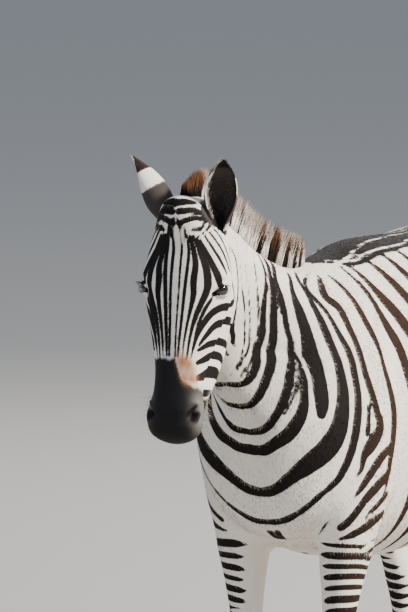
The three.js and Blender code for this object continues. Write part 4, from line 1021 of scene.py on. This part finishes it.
def tufts(roots, ways, ups, length, width, bend, rings=1, flat=0.5):
    """Closed three-sided spikes: their points (n, 3 * rings + 1, 3) and the faces of one of them."""
    across = np.cross(ways, ups)
    across /= np.maximum(np.linalg.norm(across, axis=1), 1e-9)[:, None]
    over = np.cross(across, ways)
    made, spots = [], []
    for j in range(rings):
        t = j / rings
        centre = roots + ways * (length * t)[:, None] + bend * t * t
        for k in range(3):
            a = math.pi * (0.5 + 2 * k / 3)
            out = across * math.cos(a) + over * math.sin(a) * flat
            made.append(centre + out * (0.5 * width * (1 - t) ** 0.7)[:, None])
            spots.append((math.cos(a) * (1 - 0.5 * t), math.sin(a) * (1 - 0.5 * t)))
    made.append(roots + ways * length[:, None] + bend)
    spots.append((0.0, 0.0))
    faces = [(0, 1, 2)]
    for j in range(rings - 1):
        for k in range(3):
            a, b = 3 * j + k, 3 * j + (k + 1) % 3
            faces += [(a, b + 3, b), (a, a + 3, b + 3)]
    top = 3 * (rings - 1)
    faces += [(top + k, 3 * rings, top + (k + 1) % 3) for k in range(3)]
    return np.stack(made, 1), np.array(faces), np.array(spots)


def hair_piece(name, points, faces, spots, root_uv, ink, tint, hair, material):
    """One mesh of many tufts. hair is (shade, tip, grey) for each point of each tuft."""
    count, each = points.shape[:2]
    tri = (faces[None] + each * np.arange(count)[:, None, None]).reshape(-1, 3)
    first = points[0]
    volume = sum(np.dot(first[a], np.cross(first[b], first[c])) for a, b, c in faces)
    if volume < 0:
        tri = tri[:, ::-1]
    made = bpy.data.meshes.new(name)
    made.vertices.add(count * each)
    made.vertices.foreach_set("co", points.astype(np.float32).ravel())
    made.loops.add(len(tri) * 3)
    made.loops.foreach_set("vertex_index", tri.astype(np.int32).ravel())
    made.polygons.add(len(tri))
    made.polygons.foreach_set("loop_start", np.arange(len(tri), dtype=np.int32) * 3)
    made.update(calc_edges=True)
    keep(made, "ink", np.repeat(ink, each))
    keep(made, "tint", np.repeat(tint, each, axis=0))
    keep(made, "hair", hair.reshape(-1, 3))
    uv = root_uv[:, None] + 0.0015 * spots[None]
    layer = made.uv_layers.new(name="OFBake")
    layer.data.foreach_set("uv", uv.reshape(-1, 2)[tri.ravel()].astype(np.float32).ravel())
    piece = new_object(name, made, material)
    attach(piece, "root")
    return piece


def body_way(ways):
    """Directions (x, s, z) of the body as the model's own x, y, z."""
    return ways * (1, -1, 1)


skin_points = points_of(mesh)
skin_tri = triangles_of(mesh)
skin_normal = normals_at(skin_points, skin_tri)
corner = skin_points[skin_tri]
tri_area = np.linalg.norm(np.cross(corner[:, 1] - corner[:, 0], corner[:, 2] - corner[:, 0]), axis=1) / 2
tri_middle = skin_body[skin_tri].mean(1)
tri_head = np.minimum((tri_middle[:, 1] - 468) * 0.947 - (tri_middle[:, 2] - 1490) * 0.321,
                      (tri_middle[:, 1] - 352) * 0.669 + (tri_middle[:, 2] - 1140) * 0.743) > 0
tri_leg = (tri_middle[:, 2] < 640) & ~tri_head
tri_neck = ~tri_head & ~tri_leg & (tri_middle[:, 1] > 150)
tri_back = ~tri_head & ~tri_leg & ~tri_neck
open_to_air = np.ones(len(skin_tri), bool)
_, _, _, eye_far = eye_place(tri_middle)
open_to_air &= ~((eye_far < 30) & (beyond_slit(tri_middle) < 1.5))
open_to_air &= tri_middle[:, 2] > 70
# region: triangles, tufts, length and width in mm, axis that the map of the piece goes round
COATS = {
    "coat_head": (tri_head, 46000, 7.0, 1.25),
    "coat_neck": (tri_neck, 48000, 11.0, 1.9),
    "coat_left": (tri_back & (tri_middle[:, 0] > 0), 48000, 14.0, 2.6),
    "coat_right": (tri_back & (tri_middle[:, 0] <= 0), 48000, 14.0, 2.6),
    "coat_forelegs": (tri_leg & (tri_middle[:, 1] > -400), 30000, 8.5, 1.7),
    "coat_hindlegs": (tri_leg & (tri_middle[:, 1] <= -400), 34000, 8.5, 1.7),
}
hair_material = coat_material("coat_hair", 0.2)
rng = np.random.default_rng(21)
for name, (chosen, count, length, width) in COATS.items():
    usable = np.flatnonzero(chosen & open_to_air)
    weight = tri_area[usable] / tri_area[usable].sum()
    pick = usable[np.searchsorted(np.cumsum(weight), rng.uniform(0, 1, count)).clip(0, len(usable) - 1)]
    a, b = rng.uniform(0, 1, (2, count))
    over = a + b > 1
    a, b = np.where(over, 1 - a, a), np.where(over, 1 - b, b)
    share = np.stack([1 - a - b, a, b], 1)
    root = (skin_points[skin_tri[pick]] * share[:, :, None]).sum(1)
    up = (skin_normal[skin_tri[pick]] * share[:, :, None]).sum(1)
    up /= np.linalg.norm(up, axis=1)[:, None]
    body = (skin_body[skin_tri[pick]] * share[:, :, None]).sum(1)
    way = body_way(lie_of_hair(body))
    way += 0.16 * np.linalg.norm(way, axis=1)[:, None] * rng.normal(size=way.shape)
    way -= up * (way * up).sum(1)[:, None]
    way /= np.maximum(np.linalg.norm(way, axis=1), 1e-9)[:, None]
    fine = 1 - 0.45 * smooth_step((body[:, 2] < 640) * (300 - body[:, 2]) / 200)
    if name == "coat_head":
        u, v = head_place(body[:, 1], body[:, 2])
        fine = 1 - 0.5 * smooth_step((u - 330) / 60) - 0.25 * (eye_place(body)[3] < 38)
    lift = rng.uniform(0.10, 0.24, count)
    way = way * np.sqrt(1 - lift ** 2)[:, None] + up * lift[:, None]
    long = length * MM * fine * rng.uniform(0.75, 1.2, count)
    wide = width * MM * np.sqrt(fine) * rng.uniform(0.8, 1.2, count)
    sink = root - up * 0.0006
    points, faces, spots = tufts(sink, way, up, long, wide, -up * (long * lift * 0.6)[:, None])
    ink, tint, grey = markings(body)
    hair = np.zeros((count, points.shape[1], 3))
    hair[:, :, 0] = rng.uniform(0, 1, count)[:, None] ** 1.5
    hair[:, :, 2] = grey[:, None]
    angle = np.arctan2(body[:, 0], body[:, 2] - 1000) / (2 * math.pi) + 0.5
    along = body[:, 1]
    if "leg" in name:
        right, ahead = body[:, 0] < 0, body[:, 1] - np.where("fore" in name, 120, -985)
        angle = (np.arctan2(ahead, np.abs(body[:, 0]) - 118) / (2 * math.pi) + 0.5) / 2 + 0.5 * right
        along = body[:, 2]
    if name == "coat_head":
        u, v = head_place(body[:, 1], body[:, 2])
        angle, along = np.arctan2(body[:, 0], v + 90) / (2 * math.pi) + 0.5, u
    root_uv = np.stack([(q - q.min()) / (np.ptp(q) + 1e-9) * 0.98 + 0.01 for q in (angle, along)], 1)
    hair_piece(name, points, faces, spots, root_uv, ink, tint, hair, hair_material)

# ---------------------------------------------------------------- eyes
# Each eye is a glossy ball, its cornea a little raised over a dark brown iris and a wide pupil that
# lies along the slit of the lids.
EYE_STEPS, EYE_GAP = 40, 0.25


def own_faces(mesh):
    """Turns the faces of a closed mesh outwards."""
    shape = bmesh.new()
    shape.from_mesh(mesh)
    if shape.calc_volume(signed=True) < 0:
        bmesh.ops.reverse_faces(shape, faces=shape.faces)
    for face in shape.faces:
        face.smooth = True
    shape.to_mesh(mesh)
    shape.free()


eye_material, tree, shader = new_material("eye")
across, up, out = (node(tree, "ShaderNodeSeparateXYZ", {}, {0: node(
    tree, "ShaderNodeAttribute", {"attribute_name": "iris"}, out="Vector")}, out=k) for k in range(3))
fibre = noise(tree, node(tree, "ShaderNodeTexCoord", out="Object"), 900, 3.0)
ring = (across * across + up * up) ** 0.5
pupil = (across * across * 5.5 + up * up * 16) ** 0.5
iris_share = node(tree, "ShaderNodeMapRange", {"clamp": True}, {"Value": ring, "From Min": 0.58, "From Max": 0.72})
pupil_share = node(tree, "ShaderNodeMapRange", {"clamp": True}, {"Value": pupil, "From Min": 0.8, "From Max": 1.0})
colour = mix(tree, fibre, (0.035, 0.014, 0.006, 1), (0.012, 0.006, 0.004, 1))
colour = mix(tree, pupil_share, (0.002, 0.002, 0.002, 1), colour)
colour = mix(tree, iris_share, colour, (0.020, 0.012, 0.010, 1))
feed(tree, shader, Base_Color=colour)
shader.inputs["Roughness"].default_value = 0.06
shader.inputs["Coat Weight"].default_value = 1.0
shader.inputs["Coat Roughness"].default_value = 0.02

for name, side in (("left", 1), ("right", -1)):
    ball = bmesh.new()
    bmesh.ops.create_uvsphere(ball, u_segments=EYE_STEPS, v_segments=EYE_STEPS, radius=1.0)
    own = np.array([v.co[:] for v in ball.verts])
    raised = EYE_RADIUS - EYE_GAP + 0.8 * smooth_step((own[:, 2] - 0.72) / 0.2)
    spot = (own[:, :1] * EYE_ALONG + own[:, 1:2] * EYE_UP + own[:, 2:] * EYE_OUT) * raised[:, None] + EYE_CENTRE
    for v, place in zip(ball.verts, to_world(spot * (side, 1, 1))):
        v.co = place
    eye_mesh = bpy.data.meshes.new("eyeball_" + name)
    ball.to_mesh(eye_mesh)
    ball.free()
    keep(eye_mesh, "iris", own)
    own_faces(eye_mesh)
    eye = new_object("eyeball_" + name, eye_mesh, eye_material)
    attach(eye, "root")
    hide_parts("eye_" + name)

# ---------------------------------------------------------------- hooves
# Dark horn that widens from the coronet to a flat sole, longer at the toe, with growth rings
# round it and a rounded lower edge.
HOOF_AROUND, HOOF_UP = 56, 26
# up the hoof: toe, heel and how much wider than the leg
HOOF = [(0, 22, -6, 6), (3, 28, -3, 9.5), (6, 29.5, -2, 11), (34, 18, -1, 7), (60, 8, 0, 3.5), (71, 1, 0, 0.5)]
hoof_at = sections(HOOF)
horn_material, tree, shader = new_material("hoof_horn")
place = node(tree, "ShaderNodeTexCoord", out="Object")
height = node(tree, "ShaderNodeSeparateXYZ", {}, {0: place}, out=2)
rings = noise(tree, height * 1000, 0.22, 3.0)
colour = mix(tree, rings, (0.016, 0.013, 0.011, 1), (0.060, 0.049, 0.040, 1))
colour = mix(tree, noise(tree, place, 60, 3.0) * 0.5, colour, (0.10, 0.085, 0.07, 1))
bumped = node(tree, "ShaderNodeBump", {}, {"Height": rings + noise(tree, place, 500, 3.0) * 0.3, "Strength": 0.5,
                                           "Distance": 0.0012}, out="Normal")
feed(tree, shader, Base_Color=colour, Roughness=0.42 + rings * 0.2, Normal=bumped)
for leg, table in (("fore", FORELEG), ("hind", HINDLEG)):
    for name, side in (("left", 1), ("right", -1)):
        front, back, middle, half = table[0][1:]
        level = np.linspace(0, 1, HOOF_UP) ** 1.25 * 71
        angle = np.arange(HOOF_AROUND) * 2 * math.pi / HOOF_AROUND
        toe, heel, widen = (q[:, None] for q in hoof_at(level))
        ripple = (0.35 * np.sin(level * 1.1 + 1) * smooth_step(level / 12))[:, None]
        sway, ahead = np.sin(angle)[None], np.cos(angle)[None]
        r = (np.abs(sway) ** 2.4 + np.abs(ahead) ** 2.4) ** (-1 / 2.4)
        ends = front + toe, back - heel
        x = side * middle + sway * r * (half + widen + ripple)
        s = (ends[0] + ends[1]) / 2 + ahead * r * ((ends[0] - ends[1]) / 2 + ripple)
        s = s + (STRIDE if leg == "hind" and side < 0 else 0)
        ring_points = np.stack([x, s, np.broadcast_to(level[:, None], x.shape)], 2).reshape(-1, 3)
        hoof = bmesh.new()
        corners = [hoof.verts.new(place) for place in to_world(ring_points)]
        for j in range(HOOF_UP - 1):
            for k in range(HOOF_AROUND):
                a, b = j * HOOF_AROUND + k, j * HOOF_AROUND + (k + 1) % HOOF_AROUND
                hoof.faces.new([corners[i] for i in (a, b, b + HOOF_AROUND, a + HOOF_AROUND)])
        for first in (0, (HOOF_UP - 1) * HOOF_AROUND):
            cap = hoof.faces.new(corners[first:first + HOOF_AROUND])
            bmesh.ops.poke(hoof, faces=[cap])
        bmesh.ops.recalc_face_normals(hoof, faces=hoof.faces)
        hoof_mesh = bpy.data.meshes.new(f"hoof_{leg}_{name}_horn")
        hoof.to_mesh(hoof_mesh)
        hoof.free()
        own_faces(hoof_mesh)
        piece = new_object(f"horn_{leg}_{name}", hoof_mesh, horn_material)
        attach(piece, "root")
        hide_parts(f"hoof_{leg}leg_{name}")

# ---------------------------------------------------------------- long hair
# The upright mane with its forelock, the hair of the tail, eyelashes, whiskers, the hair in the
# ears and behind the fetlocks. The mane carries on the bands of the neck and is brown at its tips.
def grow(name, roots, ways, ups, long, wide, bend, ink, tip, grey, uv, rings=3, flat=0.7):
    """Hair from body points, in mm. tip: how brown it is at its end; grey: how grey all along."""
    ways = ways / np.maximum(np.linalg.norm(ways, axis=1), 1e-9)[:, None]
    points, faces, spots = tufts(to_world(roots), body_way(ways), body_way(ups), long * MM, wide * MM,
                                 body_way(bend) * MM, rings, flat)
    t = np.append(np.repeat(np.arange(rings) / rings, 3), 1.0)
    hair = np.zeros((len(roots), len(t), 3))
    hair[:, :, 0] = rng.uniform(0, 0.8, len(roots))[:, None]
    hair[:, :, 1] = tip[:, None] * smooth_step((t - 0.35) / 0.5)[None]
    hair[:, :, 2] = grey[:, None]
    # every long hair's black takes half of the sunlit brown: painted sunlight
    tint = np.tile([0.5, 0.0, 0.0], (len(roots), 1))
    uv = np.stack([0.01 + 0.98 * np.clip(q, 0, 1) for q in uv], 1)
    return hair_piece(name, points, faces, spots, uv, ink, tint, hair, hair_material)


def few(count):
    return count


# forwards from the withers: root's place inside and its way out, lean of the hair, height
MANE = [(524, 1440, -24, 2, 28), (520, 1445, -10, 18, 47), (500, 1440, 0, 30, 69), (470, 1430, 6, 35, 83),
        (426, 1400, 18, 37, 91), (382, 1365, 30, 38, 95), (340, 1325, 37, 38, 98), (300, 1290, 37, 38, 99),
        (260, 1260, 37, 36, 98), (218, 1235, 34, 33, 93), (176, 1215, 26, 28, 83), (138, 1205, 16, 22, 69),
        (104, 1200, 8, 16, 51), (80, 1200, 2, 12, 29)]
MANE_ROOT, MANE_TOP, MANE_HAIRS = 22.0, 13.0, 7600
# black in the mane: place along it, from 0 at the forelock to 1 at the withers, and half width
MANE_BANDS = [(0.0, 0.11), (0.19, 0.03), (0.30, 0.03), (0.40, 0.025), (0.50, 0.010), (0.655, 0.020), (0.738, 0.024),
              (0.82, 0.012), (0.875, 0.012), (0.93, 0.016)]
rows = np.array(MANE, float)
out_way = np.stack([np.zeros(len(rows)), -np.sin(np.radians(rows[:, 2])), np.cos(np.radians(rows[:, 2]))], 1)
inner = np.stack([np.zeros(len(rows)), rows[:, 0], rows[:, 1]], 1)
near, far = np.zeros(len(rows)), np.full(len(rows), 260.0)
for _ in range(24):
    half_way = (near + far) / 2
    within = flesh(inner + out_way * half_way[:, None]) < 0
    near, far = np.where(within, half_way, near), np.where(within, far, half_way)
crest = inner + out_way * near[:, None]
along = np.append(0, np.cumsum(np.linalg.norm(np.diff(crest, axis=0), axis=1)))
mane_at = sections([(a / along[-1], *c[1:], math.radians(r[3]), r[4]) for a, c, r in zip(along, crest, rows)])
count = few(MANE_HAIRS)
t, x = rng.uniform(0, 1, count), rng.uniform(-1, 1, count)
s, z, lean, high = mane_at(t)
room = np.minimum(1, 0.3 + high / 130)
roots = on_skin(np.stack([x * MANE_ROOT * room, s, z], 1), 6)
long = (high + 4) * (1 - 0.22 * x ** 2) * rng.uniform(0.86, 1.02, count)
ways = np.stack([-x * (MANE_ROOT - MANE_TOP) * room / high, -np.sin(lean), np.cos(lean)], 1)
ways += rng.normal(size=ways.shape) * (0.05, 0.07, 0.05)
ups = np.stack([np.sign(x) + 0.01, np.zeros(count), np.zeros(count)], 1)
bend = np.stack([rng.normal(size=count) * 2, -long * 0.05, rng.normal(size=count)], 1)
edge = np.min([np.abs(t - at) - half for at, half in MANE_BANDS], axis=0) * along[-1]
edge = edge + 4 * wander(roots * (1, 0, 0) + [0, 0, 1] * t[:, None] * 700, 60, 31)
tip = np.clip(0.55 + 0.5 * rng.uniform(size=count) + 0.25 * (t < 0.2), 0, 1)
tip = tip * np.where(edge < 0, 1, 0.75)
grow("mane_hair", roots, ways, ups, long, rng.uniform(2.4, 3.4, count), bend, edge, tip, np.zeros(count),
     (t, 0.5 + 0.06 * x))
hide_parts("mane")

# down the tail: radius of the long hair
TAIL = [(-900, 19), (-860, 23), (-800, 29), (-730, 35), (-660, 38), (-590, 36), (-530, 27), (-490, 14), (-464, 3)]
tail_at = sections(TAIL)
count = few(3200)
root_z, angle = rng.uniform(905, 1060, count), rng.uniform(0, 2 * math.pi, count)
end_z = np.clip(rng.normal(560, 75, count), 466, 760)
spread = np.sqrt(rng.uniform(0, 1, count))
radial = np.stack([np.sin(angle), np.cos(angle), np.zeros(count)], 1)
roots = np.stack([np.zeros(count), np.interp(root_z, [900, 1000, 1090], [-1120, -1118, -1110]), root_z], 1) \
    + radial * (np.interp(root_z, [900, 1090], [15, 22]) * (0.4 + 0.5 * spread))[:, None]
centre = np.stack([np.zeros(count), -1120 - (900 - end_z) * 0.02, end_z], 1)
ends = centre + radial * (0.9 * tail_at(-end_z)[0] * spread)[:, None] * (1, 0.8, 1)
bulge = radial * (0.85 * (38 * spread - np.linalg.norm((roots + ends)[:, :2] / 2 - [0, -1124], axis=1)))[:, None]
bend = -4 * np.maximum(bulge * radial, 0) * np.sign(radial)
ways = ends - roots - bend
count_long = np.linalg.norm(ways, axis=1)
pale = (rng.uniform(size=count) < 0.30) & (root_z > 960)
grow("tail_hair", roots, ways, radial, count_long, rng.uniform(2.0, 3.0, count), bend,
     np.where(pale, 8.0, -8.0), 0.45 * rng.uniform(size=count), np.where(pale, 0.25, 0.0),
     (angle / (2 * math.pi), (root_z - 900) / 160), rings=4)
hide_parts("tail_tuft")

# lashes stand on the edges of the lids and sweep forwards and down
lash, number = [], few(64) * 2
for lid, share in ((1, 0.68), (-1, 0.32)):
    for side in (1, -1):
        n = max(int(number * share / 2), 4)
        a = np.linspace(-0.72, 0.92, n) * SLIT_HALF + rng.normal(size=n) * 0.3
        k = 1 - (a / SLIT_HALF) ** 2
        b = UPPER_ARCH * k ** 0.75 if lid > 0 else -LOWER_ARCH * k ** 0.9
        b = b + lid * 0.9
        c = np.sqrt(np.maximum((EYE_RADIUS + 2.2) ** 2 - a ** 2 - b ** 2, 9))
        root = EYE_CENTRE + a[:, None] * EYE_ALONG + b[:, None] * EYE_UP + c[:, None] * EYE_OUT
        way = EYE_OUT + EYE_ALONG * (a / SLIT_HALF * 0.45)[:, None] + EYE_UP * (0.05 if lid > 0 else -0.75)
        way = way + rng.normal(size=(n, 3)) * 0.09
        size = (15.0 if lid > 0 else 8.0) * rng.uniform(0.75, 1.1, n)
        curve = (EYE_UP * (-4.5 if lid > 0 else 1.0))[None] + np.zeros((n, 3))
        up = np.tile(EYE_UP, (n, 1))
        lash.append([q * (side, 1, 1) for q in (root, way, up, curve)] + [size])
roots, ways, ups, bend, size = (np.concatenate(q) for q in zip(*lash))
n = len(size)
grow("eyelashes", roots, ways, ups, size, np.full(n, 0.95), bend, np.full(n, -9.0), np.zeros(n), np.zeros(n),
     (np.linspace(0, 1, n), np.full(n, 0.5)))

# whiskers on the lips and the chin, and hair in the ears and behind the fetlocks
count = few(240)
side, u = rng.choice([-1, 1], count), rng.uniform(430, 508, count)
v = rng.uniform(-128, -36, count)
roots = np.stack([from_head(60 * c, a, b) for c, a, b in zip(side, u, v)])
roots = on_skin(roots, 8)
f = flesh(roots) + coat_depth(roots)
ups = skin_slope(roots, f)
down = from_head(0, 1, 0) - from_head(0, 0, 0)
ways = ups + down * 0.5 + rng.normal(size=ups.shape) * 0.25
long = rng.uniform(14, 42, count)
grow("whiskers", roots, ways, ups, long, rng.uniform(0.5, 0.75, count), -ups * (long * 0.15)[:, None] + down * 3,
     np.where(rng.uniform(size=count) < 0.6, 8.0, -8.0), np.zeros(count), np.full(count, 0.3),
     ((side + 1) / 2, (u - 430) / 78), rings=2)
# the hair in the ears is black and grey, and white on its medial side; the black and grey inside the hollow are
# painted shade
ear_sets = []
for name, (side, *_) in EARS.items():
    n = few(900)
    edge = rng.uniform(size=n) < 0.55
    a = np.where(edge, rng.choice([-1, 1], n) * rng.uniform(0.82, 1.0, n), rng.uniform(-0.8, 0.8, n))
    t = np.where(edge, rng.uniform(0.12, 0.97, n), rng.uniform(0.06, 0.6, n))
    root = ear_points(name, a, t, np.where(edge, 4.2, 5.4))
    axis = ear_points(name, np.zeros(n), t + 0.3, 22.0)
    way = axis - root + rng.normal(size=(n, 3)) * 10
    up = ear_points(name, a, t, 12.0) - root
    size = np.where(edge, 13, 20) * rng.uniform(0.7, 1.2, n)
    ear_sets.append([root, way, up / np.linalg.norm(up, axis=1)[:, None], way * 0, size,
                     np.where(a * side < -0.5, 8.0, -8.0), np.where(edge, 0.15, 0.55), a / 2 + 0.5, t])
root, way, up, bend, size, ink, grey, a, t = (np.concatenate(q) for q in zip(*ear_sets))
grow("ear_hair", root, way, up, size, np.full(len(size), 1.0), bend, ink, np.zeros(len(size)), grey, (a, t),
     rings=2)
sets = []
for table, is_hind in ((FORELEG, False), (HINDLEG, True)):
    for side in (1, -1):
        n = few(420)
        z = rng.uniform(84, 132, n)
        front, back, middle, half = sections(table)(z)
        a = rng.uniform(-0.75, 0.75, n)
        step = STRIDE if is_hind and side < 0 else 0
        root = np.stack([side * middle + half * np.sin(a) * 0.9, back + 6 * a ** 2 + step + 3, z], 1)
        way = np.stack([0.25 * np.sin(a), np.full(n, -0.45), np.full(n, -1.0)], 1) + rng.normal(size=(n, 3)) * 0.12
        sets.append([on_skin(root, 4), way, z / 140, a / 2 + 0.5])
root, way, t, a = (np.concatenate(q) for q in zip(*sets))
n = len(root)
grow("fetlock_hair", root, way, np.tile([0.0, -1.0, 0.0], (n, 1)), 20 * rng.uniform(0.6, 1.1, n),
     np.full(n, 1.7), way * 0, markings(root)[0], 0.3 * np.ones(n), np.zeros(n), (a, t), rings=2)
